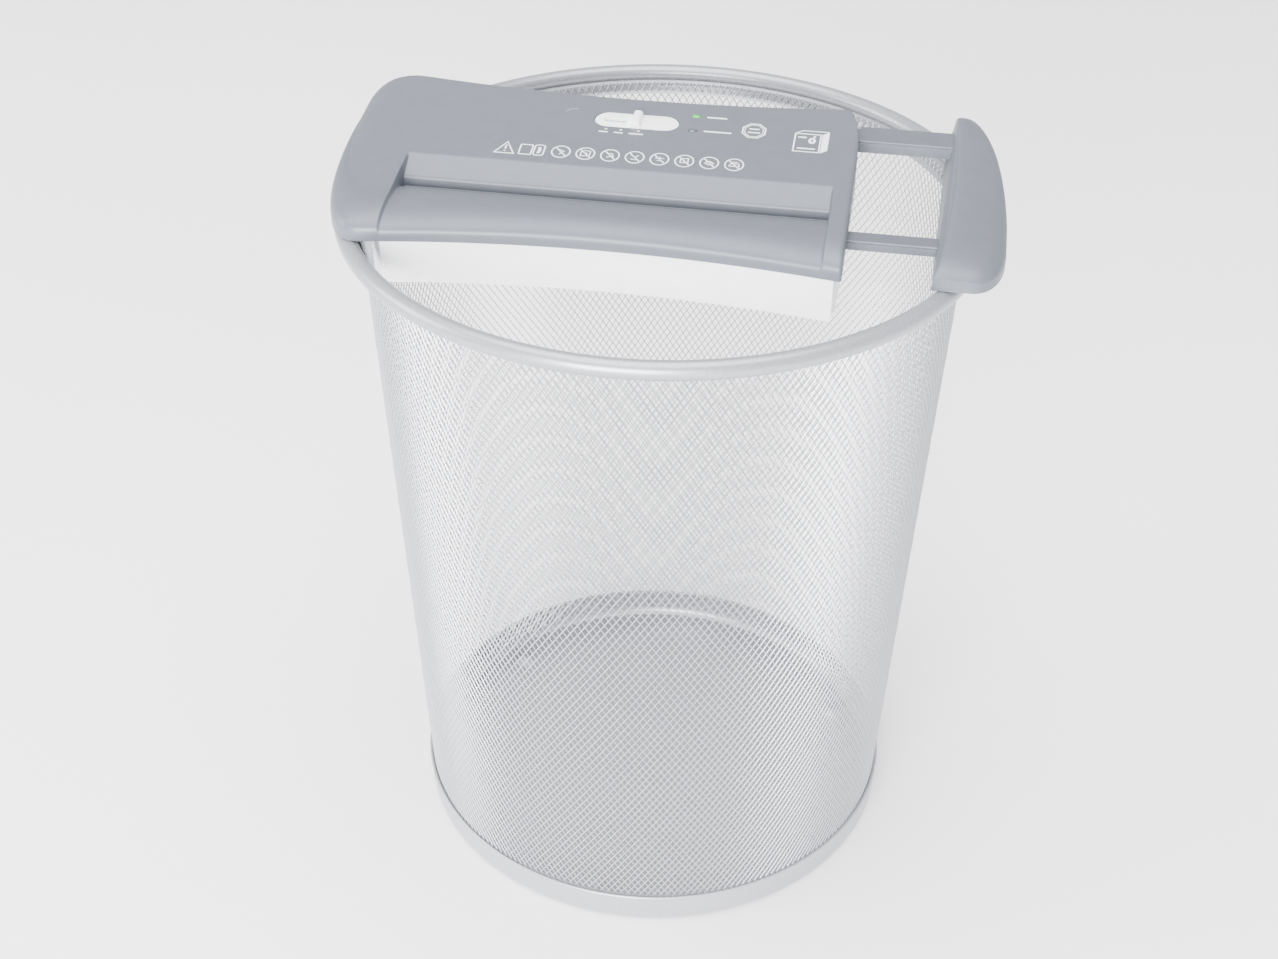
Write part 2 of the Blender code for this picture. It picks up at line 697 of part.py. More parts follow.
def seat_pad(name, plate, centre, material):
    """Rubber pad let into the plate that rests on the rim."""
    pocket = prism(rounded(PAD_SIZE[0] + 2 * GAP, PAD_SIZE[1] + 2 * GAP, 2.0), SEAT - 1, SEAT + 1.2, "Z")
    bmesh.ops.translate(pocket, verts=pocket.verts, vec=(*centre, 0))
    boolean(plate, add(f"{name}_pocket", pocket), "DIFFERENCE")
    pad = prism(rounded(*PAD_SIZE, 2.0), SEAT, SEAT + 1.2 - GAP, "Z")
    bmesh.ops.translate(pad, verts=pad.verts, vec=(*centre, 0))
    add(name, pad, material)


# ---- lower housing ----
def housing_plan(inset):
    """Outline seen from above: concave front, left end that follows the basket, square right end."""
    radius = HOUSING_RADIUS - inset
    right = HEAD_RIGHT - COVER_WALL - GAP - 1.5 - inset
    lap = COVER_WALL + GAP + inset

    def left_end(edge):
        x = -radius
        for _ in range(40):
            y = edge(x, lap)
            x = -math.sqrt(max(radius ** 2 - y ** 2, 1.0))
        return x

    front_x = left_end(front_edge)
    back_x = left_end(housing_back)
    shares = [i / 8 for i in range(9)]
    points = [(x, front_edge(x, lap)) for x in [mixed(front_x, right, share) for share in shares]]
    for x in [mixed(right, back_x, share) for share in shares]:
        points.append((x, min(housing_back(x, lap), cover_edges(x, lap)[1])))
    start = math.degrees(math.atan2(points[-1][1], points[-1][0]))
    end = math.degrees(math.atan2(points[0][1], points[0][0])) + 360
    return points + arc((0, 0), radius, start, end, 10)[1:-1]


def housing_back(x, inset=0.0):
    return min(back_edge(x), BACK_WAIST_Y + 2.0) - inset


def housing_sides(inset):
    """Outline across X: short skirt at the front, then a floor that slants back under the cutters."""
    front = FRONT_WAIST_Y + COVER_WALL + GAP
    skirt = SEAT - SKIRT_HEIGHT + inset
    floor = CUTTER_Z - TUB_DEPTH + inset
    knee = front + 0.45 * inset
    run = (skirt - floor) / math.tan(math.radians(FLOOR_SLANT))
    far = 2 * RIM_RADIUS
    top = SEAT + FLANGE + (20 if inset else 0)
    return [(-far, top), (-far, skirt), (knee, skirt), (knee + run, floor), (far, floor), (far, top)]


def lower_housing(material):
    far = 2 * RIM_RADIUS
    top = SEAT + FLANGE
    housing = add("lower_housing", prism(housing_plan(0), SEAT - 100, top, "Z"), material)
    boolean(housing, add("housing_sides", prism(housing_sides(0), -far, far)), "INTERSECT")
    inner = add("housing_inner", prism(housing_plan(HOUSING_WALL), SEAT - 100, top + 10, "Z"))
    boolean(inner, add("housing_inner_sides", prism(housing_sides(HOUSING_WALL), -far, far)), "INTERSECT")
    boolean(housing, inner, "DIFFERENCE")
    outlet = box(
        (SLOT_LEFT + 2, SLOT_CENTRE_Y - OUTLET_WIDTH / 2, SEAT - 100),
        (SLOT_RIGHT - 2, SLOT_CENTRE_Y + OUTLET_WIDTH / 2, CUTTER_Z - DISC_RADIUS),
    )
    boolean(housing, add("outlet_cut", outlet), "DIFFERENCE")
    lap = COVER_WALL + GAP
    inner_x = -(HOUSING_RADIUS - HOUSING_WALL - 6)
    rows = [mixed(HEAD_LEFT + lap, inner_x, share) for share in (0.0, 0.06, 0.18, 0.4, 0.7, 1.0)]
    edges = [(x, *cover_edges(x, lap)) for x in rows]
    outline = [(x, low) for x, low, high in edges] + [(x, high) for x, low, high in reversed(edges)]
    flange = add("seat_flange", prism(outline, SEAT, top, "Z"))
    well = box((inner_x - 4, FRONT_CUTTER_Y - 10, SEAT - 1), (inner_x + 10, MOTOR_AXIS[0] + 8, top + 1))
    boolean(flange, add("gear_well", well), "DIFFERENCE")
    boolean(housing, flange, "UNION")
    for index, y in enumerate(PAD_Y):
        x = -(math.sqrt(RIM_RADIUS ** 2 - y ** 2) - PAD_SIZE[0] / 2)
        seat_pad(f"seat_pad_{index + 1}", housing, (x, y), RUBBER)
    gland_hole = prism(circle(GLAND_RADIUS + GAP, ROUND, (GLAND_X, GLAND_Z)), 0, far, "Y")
    boolean(housing, add("gland_hole", gland_hole), "DIFFERENCE")
    for index, y in enumerate(COVER_SCREW_Y):
        head = (COVER_SCREW_X, y, SEAT - 0.1)
        screw(f"cover_screw_{index + 1}", STEEL, head, (0, 0, 1), 9.0)
        screw_hole(housing, f"cover_screw_hole_{index}", head, (0, 0, 1), 10.0)
    return housing


def cord_gland(material):
    """Rubber bush in the back wall that the mains lead comes out through."""
    wall = housing_back(GLAND_X, COVER_WALL + GAP)
    inside = wall - HOUSING_WALL - 1.5
    bm = skinned([
        [(GLAND_X + a, y, GLAND_Z + b) for a, b in circle(radius, ROUND)]
        for radius, y in (
            (GLAND_RADIUS + 2, inside - 1.5), (GLAND_RADIUS + 2, inside + 1.5 - GAP),
            (GLAND_RADIUS, inside + 1.5 - GAP), (GLAND_RADIUS, wall + GAP),
            (GLAND_RADIUS + 1.5, wall + GAP), (GLAND_RADIUS + 1.0, wall + 2.2),
            (3.6, wall + 2.2), (3.6, inside + 4.0),
        )
    ])
    add("cord_gland", bm, material)


# ---- paper path ----
def paper_throat(material):
    """Funnel under the slot, with a notch and two ears for the paper sensor."""
    left = SLOT_LEFT + GAP
    right = SLOT_RIGHT - GAP
    top = SEAT + SLOT_FLOOR_HEIGHT - COVER_WALL - 2 * GAP
    bottom = CUTTER_Z + THROAT_OVER_AXIS

    def frame(half_top, half_bottom, inset, extra):
        loops = []
        for half, z in ((half_bottom, bottom - extra), (half_top, top + extra)):
            y = SLOT_CENTRE_Y
            loops.append([
                (left + inset, y - half, z), (right - inset, y - half, z),
                (right - inset, y + half, z), (left + inset, y + half, z),
            ])
        return skinned(loops)

    throat = add("paper_throat", frame(5.6, 4.0, 0, 0), material)
    for side in (-1, 1):
        x = SENSOR_X + side * (SENSOR_WIDTH / 2 + 2.2)
        ear = box(
            (x - 1.2, SLOT_CENTRE_Y + 3.2, CUTTER_Z + DISC_RADIUS + 0.8),
            (x + 1.2, SENSOR_PIVOT[0] + 3.0, top),
        )
        boolean(throat, add(f"sensor_ear_{side + 1}", ear), "UNION")
    boolean(throat, add("throat_gap", frame(3.5, 2.2, 1.5, 0.5)), "DIFFERENCE")
    notch = box(
        (SENSOR_X - SENSOR_WIDTH / 2 - 0.6, SLOT_CENTRE_Y + 1, bottom + 1.0),
        (SENSOR_X + SENSOR_WIDTH / 2 + 0.6, SLOT_CENTRE_Y + 8, top + 1),
    )
    boolean(throat, add("sensor_notch", notch), "DIFFERENCE")
    pin_hole = rod(1.0 + GAP, SENSOR_X - 10, SENSOR_X + 10, SENSOR_PIVOT, SMALL)
    boolean(throat, add("sensor_pin_hole", pin_hole), "DIFFERENCE")


def paper_sensor(lever_plastic, steel, switch_plastic):
    """Lever that the sheet pushes down, the pin it turns on and the switch that it works."""
    y, z = SENSOR_PIVOT
    half = SENSOR_WIDTH / 2
    outline = [
        (SLOT_CENTRE_Y - 1.0, z - 0.9), (y - 2.0, z - 1.4), (y, z - 2.4), (y + 2.4, z - 1.0),
        (y + 5.0, z + 0.2), (y + 5.0, z + 1.4), (y + 2.0, z + 2.2), (y - 2.0, z + 1.6),
        (SLOT_CENTRE_Y - 1.0, z + 0.7),
    ]
    lever = add("sensor_lever", prism(outline, SENSOR_X - half, SENSOR_X + half), lever_plastic,
                (SENSOR_X, y, z))
    bore = rod(hole(1.0, RUNNING, SMALL), SENSOR_X - 9, SENSOR_X + 9, SENSOR_PIVOT, SMALL)
    boolean(lever, add("lever_bore", bore), "DIFFERENCE")
    reach = half + 3.4
    add("sensor_pin", rod(1.0, SENSOR_X - reach, SENSOR_X + reach, SENSOR_PIVOT, SMALL), steel)
    near, far, low, high, bevel = y + 6.0, y + 12.4, z - 1.6, z + 8.4, 1.0
    case = [
        (near + bevel, low), (far - bevel, low), (far, low + bevel), (far, high - bevel),
        (far - bevel, high), (near + bevel, high), (near, high - bevel), (near, low + bevel),
    ]
    add("sensor_switch", prism(case, SENSOR_X - 10, SENSOR_X + 10), switch_plastic)


# ---- cutting block ----
def side_plate(name, low_x, outline, shafts, rods, extra, material):
    plate = add(name, prism(outline, low_x, low_x + PLATE), material)
    holes = [(axis, SHAFT_RADIUS + BUSH_WALL + GAP) for axis in shafts]
    holes += [(axis, ROD_RADIUS + GAP) for axis in rods] + extra
    for index, (axis, radius) in enumerate(holes):
        cut = rod(radius, low_x - 1, low_x + PLATE + 1, axis, ROUND)
        boolean(plate, add(f"{name}_hole_{index}", cut), "DIFFERENCE")
    return plate


def cutting_frame(steel, brass):
    """Two side plates, the rods that tie them and the bushes that the cutter shafts run in."""
    front = FRONT_CUTTER_Y
    rear = REAR_CUTTER_Y
    reach = DISC_RADIUS + 1.0
    rods = (
        (front - DISC_RADIUS + 1.5, CUTTER_Z + 11.0),
        (rear + DISC_RADIUS + 5.0, CUTTER_Z + 9.0),
    )
    low = CUTTER_Z - DISC_RADIUS - 4
    top = CUTTER_Z + DISC_RADIUS
    shared = [(front - reach, top), (front - reach, CUTTER_Z - 3), (front + 2, low)]
    short = shared + [(rear + reach + 6, low), (rear + reach + 6, top)]
    motor_y = MOTOR_AXIS[0] + MOTOR_RADIUS
    motor_low = MOTOR_AXIS[1] - MOTOR_RADIUS
    long = shared + [(rear + reach, low), (rear + reach + 6, motor_low), (motor_y, motor_low), (motor_y, top)]
    shafts = (FRONT_AXIS, REAR_AXIS)
    extra = [(IDLER_AXIS, AXLE_RADIUS + GAP), (MOTOR_AXIS, 4.0)]
    left = side_plate("left_plate", LEFT_PLATE_X, long, shafts, rods, extra, steel)
    side_plate("right_plate", RIGHT_PLATE_X, short, shafts, rods, [], steel)
    for index, side in enumerate((-1, 1)):
        head = (LEFT_PLATE_X - 0.1, MOTOR_AXIS[0], MOTOR_AXIS[1] + side * 0.68 * MOTOR_RADIUS)
        screw(f"motor_screw_{index + 1}", STEEL, head, (1, 0, 0), 7.0)
        screw_hole(left, f"motor_screw_hole_{index}", head, (1, 0, 0), 8.0)
    for name, axis in zip(("front_tie_rod", "rear_tie_rod"), rods):
        add(name, rod(ROD_RADIUS, LEFT_PLATE_X - 0.4, RIGHT_PLATE_X + PLATE + 0.4, axis, SMALL), steel)
    for end, x in (("left", LEFT_PLATE_X), ("right", RIGHT_PLATE_X)):
        for place, axis in (("front", FRONT_AXIS), ("rear", REAR_AXIS)):
            bush = add(f"{place}_{end}_bush", rod(SHAFT_RADIUS + BUSH_WALL, x, x + PLATE, axis, ROUND), brass)
            bore = rod(hole(SHAFT_RADIUS, RUNNING, ROUND), x - 1, x + PLATE + 1, axis, ROUND)
            boolean(bush, add(f"{place}_{end}_bore", bore), "DIFFERENCE")


def cutter_drum(name, axis, first, low_x, high_x, material):
    """Shaft with a row of cutting discs, each as wide as a strip."""
    count = int(SLOT_LENGTH // (2 * STRIP))
    profile = [(SHAFT_RADIUS, low_x)]
    for i in range(count):
        start = SLOT_LEFT + first + 2 * STRIP * i + DISC_SIDE_CLEARANCE
        end = start + STRIP - 2 * DISC_SIDE_CLEARANCE
        profile += [(SHAFT_RADIUS, start), (DISC_RADIUS, start), (DISC_RADIUS, end), (SHAFT_RADIUS, end)]
    profile.append((SHAFT_RADIUS, high_x))
    return add(name, turned_bar(profile, axis, DRUM), material, (SLOT_CENTRE_X, *axis))


def stripper(name, bar_side, first, material):
    """Comb whose fingers reach between the discs and lift the strips off them."""
    bar = SLOT_CENTRE_Y + bar_side * (CUTTER_SPACING / 2 + DISC_RADIUS + 0.5)
    back = bar + bar_side * 2.2
    tip = SLOT_CENTRE_Y + bar_side * 4.5
    count = int(SLOT_LENGTH // (2 * STRIP))
    low = SLOT_LEFT + GAP
    high = SLOT_RIGHT - GAP
    edge = [(low, back), (low, bar)]
    for i in range(count):
        start = max(SLOT_LEFT + first + 2 * STRIP * i + FINGER_CLEARANCE, low)
        end = min(start + STRIP - 2 * FINGER_CLEARANCE, high)
        edge += [(start, bar), (start, tip), (end, tip), (end, bar)]
    edge += [(high, bar), (high, back)]
    z = CUTTER_Z - SHAFT_RADIUS - 0.8
    add(name, prism(edge, z - 2.6, z, "Z"), material)


def gear_outline(teeth, centre, turn):
    """Tooth outline of a spur gear, with a tooth centred on the turn angle in degrees."""
    tip = GEAR_MODULE * (teeth / 2 + 0.9)
    root = GEAR_MODULE * (teeth / 2 - 1.15)
    pitch = 360 / teeth
    points = []
    for i in range(teeth):
        middle = turn + i * pitch
        for radius, share in ((root, -0.34), (tip, -0.11), (tip, 0.11), (root, 0.34)):
            points.append(polar(centre, radius, middle + share * pitch))
    return points


def gear(name, teeth, axis, turn, low_x, high_x, bore, material):
    made = add(name, prism(gear_outline(teeth, axis, turn), low_x, high_x), material, (low_x, *axis))
    cut = rod(bore, low_x - 20, high_x + 20, axis, ROUND)
    boolean(made, add(f"{name}_bore", cut), "DIFFERENCE")
    return made


def gear_train(steel, acetal):
    """Motor pinion, idler and drive gear at the left end, and a pair at the right that ties the cutters."""
    near = LEFT_PLATE_X - 0.6
    far = near - GEAR_WIDTH - 0.5
    fixed = hole(SHAFT_RADIUS, 0.1, ROUND)
    to_idler = IDLER_ANGLE
    gear("drive_gear", DRIVE_TEETH, REAR_AXIS, to_idler, far - GEAR_WIDTH, far, fixed, acetal)
    pinion_turn = to_idler + 180 + 180 / IDLER_PINION_TEETH
    wheel_turn = MOTOR_ANGLE
    idler = gear(
        "idler_gear", IDLER_WHEEL_TEETH, IDLER_AXIS, wheel_turn, near - GEAR_WIDTH, near,
        hole(AXLE_RADIUS, RUNNING, ROUND), acetal,
    )
    outline = gear_outline(IDLER_PINION_TEETH, IDLER_AXIS, pinion_turn)
    pinion = add("idler_pinion", prism(outline, far - GEAR_WIDTH, near - 1))
    bore = rod(hole(AXLE_RADIUS, RUNNING, ROUND), far - 20, near + 20, IDLER_AXIS, ROUND)
    boolean(pinion, add("idler_pinion_bore", bore), "DIFFERENCE")
    boolean(idler, pinion, "UNION")
    add("idler_axle", rod(AXLE_RADIUS, far - GEAR_WIDTH - 0.8, SLOT_LEFT - GAP, IDLER_AXIS, ROUND), steel)
    motor_turn = MOTOR_ANGLE + 180 + 180 / MOTOR_TEETH
    outline = gear_outline(MOTOR_TEETH, MOTOR_AXIS, motor_turn)
    rotor = add("motor_pinion", prism(outline, near - GEAR_WIDTH, near), steel, (near, *MOTOR_AXIS))
    shaft = rod(MOTOR_SHAFT, near - 1, SLOT_LEFT + 14, MOTOR_AXIS, ROUND)
    boolean(rotor, add("motor_shaft", shaft), "UNION")
    start = RIGHT_PLATE_X + PLATE + 0.4
    gear("front_sync_gear", SYNC_TEETH, FRONT_AXIS, 0, start, start + SYNC_WIDTH, fixed, steel)
    gear("rear_sync_gear", SYNC_TEETH, REAR_AXIS, 180 / SYNC_TEETH, start, start + SYNC_WIDTH, fixed, steel)


def motor(steel):
    """Round motor bolted to the left plate from inside."""
    low = SLOT_LEFT + GAP
    profile = [
        (MOTOR_RADIUS - 1.5, low), (MOTOR_RADIUS, low + 1.5), (MOTOR_RADIUS, low + MOTOR_LENGTH - 8),
        (MOTOR_RADIUS - 2, low + MOTOR_LENGTH - 7), (MOTOR_RADIUS - 3, low + MOTOR_LENGTH - 1),
        (7.0, low + MOTOR_LENGTH),
    ]
    body = add("motor_body", turned_bar(profile, MOTOR_AXIS, ROUND), steel)
    bore = rod(hole(MOTOR_SHAFT, RUNNING, ROUND), low - 1, low + 15, MOTOR_AXIS, ROUND)
    boolean(body, add("motor_bore", bore), "DIFFERENCE")
    for index, side in enumerate((-1, 1)):
        head = (LEFT_PLATE_X - 0.1, MOTOR_AXIS[0], MOTOR_AXIS[1] + side * 0.68 * MOTOR_RADIUS)
        screw_hole(body, f"motor_body_hole_{index}", head, (1, 0, 0), 8.0)


clear_scene()
GREY = finish("grey_abs", "A3A8B0", 0.42)
WHITE = finish("white_abs", "F0F1F4", 0.4)
SILVER = finish("silver_paint", "D9DADD", 0.35, 0.3)
WIRE = finish("silver_wire", "E2E3E7", 0.4, 0.3)
BOARD = finish("circuit_board", "2E6B3A", 0.5)
DARK = finish("black_plastic", "26282C", 0.5)
GREEN = finish("green_lens", "1FA23C", 0.2)
AMBER = finish("smoked_lens", "4A505C", 0.2)
STEEL = finish("steel", "9A9DA2", 0.35, 1.0)
ACETAL = finish("acetal", "E8E4D8", 0.4)
BRASS = finish("sintered_bronze", "B08A4A", 0.4, 1.0)
RUBBER = finish("rubber", "2B2B2D", 0.8)

base_pan(SILVER)
mesh_wall(WIRE)
rim_tube(SILVER)
top_cover(GREY)
switch_track(WHITE)
mode_slider(WHITE)
control_parts(BOARD, DARK, GREEN, AMBER)
extension_arm(GREY, STEEL, RUBBER)
lower_housing(WHITE)
cord_gland(RUBBER)
paper_throat(DARK)
paper_sensor(ACETAL, STEEL, DARK)
cutting_frame(STEEL, BRASS)
cutter_drum("front_cutter", FRONT_AXIS, 0.0, LEFT_PLATE_X - 0.3, RIGHT_PLATE_X + PLATE + 3.0, STEEL)
cutter_drum("rear_cutter", REAR_AXIS, STRIP, LEFT_PLATE_X - 9.6, RIGHT_PLATE_X + PLATE + 3.0, STEEL)
stripper("front_stripper", -1, STRIP, DARK)
stripper("rear_stripper", 1, 0.0, DARK)
gear_train(STEEL, ACETAL)
motor(STEEL)
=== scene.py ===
"""Looks of a strip-cut paper shredder whose head bridges the rim of a round wire-mesh waste basket.

The sections follow the object as it is put together, from the basket's pan up to the head's panel.
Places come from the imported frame, in metres. Sizes of single features are given in millimetres.
"""

import math

import bmesh
import bpy
from mathutils import Matrix, Vector


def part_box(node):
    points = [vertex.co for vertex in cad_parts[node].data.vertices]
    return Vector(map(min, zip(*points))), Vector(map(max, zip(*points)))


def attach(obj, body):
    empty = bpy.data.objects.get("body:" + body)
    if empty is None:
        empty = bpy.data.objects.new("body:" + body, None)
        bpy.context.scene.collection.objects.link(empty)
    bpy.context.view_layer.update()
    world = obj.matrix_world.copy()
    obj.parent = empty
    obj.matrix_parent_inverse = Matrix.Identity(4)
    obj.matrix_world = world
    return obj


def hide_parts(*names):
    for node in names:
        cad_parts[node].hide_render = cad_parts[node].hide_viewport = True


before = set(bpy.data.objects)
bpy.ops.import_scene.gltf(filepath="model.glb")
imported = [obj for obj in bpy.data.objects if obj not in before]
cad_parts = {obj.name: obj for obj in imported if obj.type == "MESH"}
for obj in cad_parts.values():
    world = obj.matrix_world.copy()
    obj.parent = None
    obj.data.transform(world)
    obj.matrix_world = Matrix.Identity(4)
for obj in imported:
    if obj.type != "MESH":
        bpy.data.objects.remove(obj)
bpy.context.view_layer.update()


# ---- Base pan ----
# A cup pressed from thin steel sheet and lacquered silver. Its band wraps the foot of the mesh, and three
# dimples pressed up in its floor stiffen it. The rolled upper edge is folded over so that it doesn't cut.
MM = 0.001


def linear(colour):
    """Scene-linear colour of an sRGB hex value."""
    channels = [int(colour[i:i + 2], 16) / 255 for i in (0, 2, 4)]
    return [c / 12.92 if c <= 0.04045 else ((c + 0.055) / 1.055) ** 2.4 for c in channels] + [1.0]


def add_node(tree, kind, inputs=None, **settings):
    """Adds a shader node with its settings, and gives its inputs a value or a link."""
    node = tree.nodes.new(kind)
    for name, value in settings.items():
        setattr(node, name, value)
    for name, value in (inputs or {}).items():
        if isinstance(value, bpy.types.NodeSocket):
            tree.links.new(value, node.inputs[name])
        else:
            node.inputs[name].default_value = value
    return node


def start_material(name, roughness, metallic=0.0, ior=None):
    """A material, its nodes, its shader and the piece's own coordinates. A metal keeps the default IOR."""
    material = bpy.data.materials.new(name)
    material.use_nodes = True
    tree = material.node_tree
    shader = tree.nodes["Principled BSDF"]
    shader.inputs["Roughness"].default_value = roughness
    shader.inputs["Metallic"].default_value = metallic
    if ior:
        shader.inputs["IOR"].default_value = ior
    return material, tree, shader, add_node(tree, "ShaderNodeTexCoord").outputs["Object"]


def mottle(tree, shader, place, grain, light, dark):
    """Two close tones of one colour, in patches of about the grain's size in millimetres."""
    noise = add_node(
        tree, "ShaderNodeTexNoise", {"Vector": place, "Scale": 1 / (grain * MM), "Detail": 3.0}
    )
    share = add_node(
        tree, "ShaderNodeMapRange", {"Value": noise.outputs["Fac"], "From Min": 0.3, "From Max": 0.7}
    )
    mix = add_node(
        tree, "ShaderNodeMix", {0: share.outputs["Result"], 6: linear(dark), 7: linear(light)},
        data_type="RGBA",
    )
    tree.links.new(mix.outputs[2], shader.inputs["Base Color"])
    return noise


def emboss(tree, shader, height, depth, strength=1.0):
    """Relief of a height pattern, its depth in millimetres."""
    bump = add_node(
        tree, "ShaderNodeBump", {"Height": height, "Distance": depth * MM, "Strength": strength}
    )
    tree.links.new(bump.outputs["Normal"], shader.inputs["Normal"])


def silver_lacquered_steel(name, light, dark):
    """Silver stoving lacquer: fine flake gives a soft sheen, and the film has a faint orange peel."""
    material, tree, shader, place = start_material(name, roughness=0.34, metallic=0.55)
    mottle(tree, shader, place, 1.2, light, dark)
    peel = add_node(
        tree, "ShaderNodeTexNoise", {"Vector": place, "Scale": 1 / (1.6 * MM), "Detail": 2.0}
    )
    emboss(tree, shader, peel.outputs["Fac"], 0.03, 0.5)
    return material


def new_piece(name, points, faces, material, crease=32):
    """A piece from points in millimetres, shaded smooth up to the crease angle in degrees."""
    mesh = bpy.data.meshes.new(name)
    mesh.from_pydata([[c * MM for c in point] for point in points], [], faces)
    mesh.validate()
    shell = bmesh.new()
    shell.from_mesh(mesh)
    bmesh.ops.remove_doubles(shell, verts=shell.verts, dist=0.002 * MM)
    bmesh.ops.recalc_face_normals(shell, faces=shell.faces)
    shell.to_mesh(mesh)
    shell.free()
    mesh.materials.append(material)
    mesh.shade_smooth()
    mesh.set_sharp_from_angle(angle=math.radians(crease))
    piece = bpy.data.objects.new(name, mesh)
    bpy.context.scene.collection.objects.link(piece)
    return piece


def turned(profile, steps, closed=False):
    """Points and faces of a profile of (radius, height) turned about Z."""
    points = [
        (r * math.cos(2 * math.pi * i / steps), r * math.sin(2 * math.pi * i / steps), z)
        for i in range(steps)
        for r, z in profile
    ]
    count = len(profile)
    faces = []
    for i in range(steps):
        after = (i + 1) % steps
        for j in range(count if closed else count - 1):
            k = (j + 1) % count
            faces.append((i * count + j, after * count + j, after * count + k, i * count + k))
    return points, faces


def bow(centre, radius, start, end, steps):
    """Points of an arc between two angles in degrees."""
    angles = [math.radians(start + (end - start) * i / steps) for i in range(steps + 1)]
    return [(centre[0] + radius * math.cos(a), centre[1] + radius * math.sin(a)) for a in angles]


pan_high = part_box("base_pan")[1]
rim_low, rim_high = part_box("rim_tube")
PAN_TOP = pan_high.z / MM
BAND_RADIUS = pan_high.x / MM
RIM_TUBE = (rim_high.z - rim_low.z) / 2 / MM
RIM_RADIUS = rim_high.x / MM - RIM_TUBE
RIM_Z = rim_high.z / MM - RIM_TUBE
PAN_FOOT_RADIUS = BAND_RADIUS - 1.0
SHEET = 1.0
FOOT_BEND = 5.0
BAND_HEM = 0.9
FLOOR_LINE = [(0, 0.6), (40, 0.6), (90, 0.6), (128, 0.5), (133, 0.0)]
DIMPLE_ANGLES = (27, 144, -94)
DIMPLE_INSET = 18.0
DIMPLE_RADIUS = 9.0
DIMPLE_FOOT = 0.55
DIMPLE_HEIGHT = 2.0
DIMPLE_RINGS = 12

silver_pan = silver_lacquered_steel("silver_lacquered_pan", "ACADB2", "A0A1A7")
foot_centre = (PAN_FOOT_RADIUS - FOOT_BEND, FOOT_BEND)
pan_profile = FLOOR_LINE + bow(foot_centre, FOOT_BEND, -90, 0, 8)
pan_profile += [(BAND_RADIUS - 0.4, PAN_TOP - 4), (BAND_RADIUS - 0.2, PAN_TOP - 1.4)]
pan_profile += bow((BAND_RADIUS - BAND_HEM, PAN_TOP - BAND_HEM), BAND_HEM, 0, 180, 6)
pan_profile += [(BAND_RADIUS - 1.4, PAN_TOP - 2)]
pan_profile += bow(foot_centre, FOOT_BEND - SHEET, 0, -90, 8)
pan_profile += [(r, SHEET + z) for r, z in reversed(FLOOR_LINE)]
pan_points, pan_faces = turned(pan_profile, 128)
for angle in DIMPLE_ANGLES:
    centre_x = (PAN_FOOT_RADIUS - DIMPLE_INSET) * math.cos(math.radians(angle))
    centre_y = (PAN_FOOT_RADIUS - DIMPLE_INSET) * math.sin(math.radians(angle))
    dome = []
    for i in range(DIMPLE_RINGS + 1):
        rise = DIMPLE_HEIGHT * math.cos(math.pi * i / (2 * DIMPLE_RINGS)) ** 2
        dome.append((DIMPLE_RADIUS * i / DIMPLE_RINGS, SHEET + DIMPLE_FOOT + rise))
    dome_points, dome_faces = turned(dome, 32)
    offset = len(pan_points)
    pan_points += [(x + centre_x, y + centre_y, z) for x, y, z in dome_points]
    pan_faces += [tuple(offset + i for i in face) for face in dome_faces]
pan = new_piece("pressed_pan", pan_points, pan_faces, silver_pan, 50)
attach(pan, "basket")
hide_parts("base_pan")


# ---- Mesh wall ----
# Expanded steel: one sheet, slit and stretched into upright diamonds, rolled to a cone and lacquered
# silver. Its foot sits inside the pan's band and its top flares out under the rim.
DIAMOND_WIDTH = 4.2
DIAMOND_HEIGHT = 6.6
STRAND = 0.62
STRAND_RINGS = 18
MESH_FOOT = 6.0
FLARE = 9.0
MESH_TOP_RADIUS = RIM_RADIUS - 8.6
MESH_BASE_RADIUS = BAND_RADIUS - 1.5 - SHEET


def mesh_radius(z):
    """Radius of the middle of the mesh at a height."""
    straight = MESH_BASE_RADIUS + (MESH_TOP_RADIUS - MESH_BASE_RADIUS) * (z - PAN_TOP) / (RIM_Z - PAN_TOP)
    flare = max(0.0, (z - (RIM_Z - FLARE)) / FLARE)
    return straight + flare ** 2 * (RIM_RADIUS - 4.4 - MESH_TOP_RADIUS)


def strand_points(start, hand, heights):
    """Square section of one strand that winds up the cone, as rings of four points."""
    lean = DIAMOND_WIDTH / DIAMOND_HEIGHT
    angle = start
    rings = []
    for i, z in enumerate(heights):
        radius = mesh_radius(z)
        if i:
            angle += hand * lean * (z - heights[i - 1]) / radius
        half = STRAND / 2
        across = half / radius
        for side, out in ((-1, 0), (0, 1), (1, 0), (0, -1)):
            r = radius + out * half * 1.2
            a = angle + side * across * 1.3
            rings.append((r * math.cos(a), r * math.sin(a), z))
    return rings


silver_mesh = silver_lacquered_steel("silver_lacquered_mesh", "B2B3B8", "A2A3A9")
straight_rise = RIM_Z - FLARE - MESH_FOOT
strand_heights = [MESH_FOOT + straight_rise * i / STRAND_RINGS for i in range(STRAND_RINGS + 1)]
strand_heights += [RIM_Z - 5.5, RIM_Z - 3.0]
strand_count = round(2 * math.pi * mesh_radius(0.5 * RIM_Z) / DIAMOND_WIDTH)
mesh_points = []
mesh_faces = []
for hand in (-1, 1):
    for number in range(strand_count):
        first = len(mesh_points)
        mesh_points += strand_points(2 * math.pi * number / strand_count, hand, strand_heights)
        for ring in range(len(strand_heights) - 1):
            low = first + 4 * ring
            for side in range(4):
                after = (side + 1) % 4
                mesh_faces.append((low + side, low + after, low + 4 + after, low + 4 + side))
mesh_wall = new_piece("diamond_mesh", mesh_points, mesh_faces, silver_mesh, 60)
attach(mesh_wall, "basket")
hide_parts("mesh_wall")


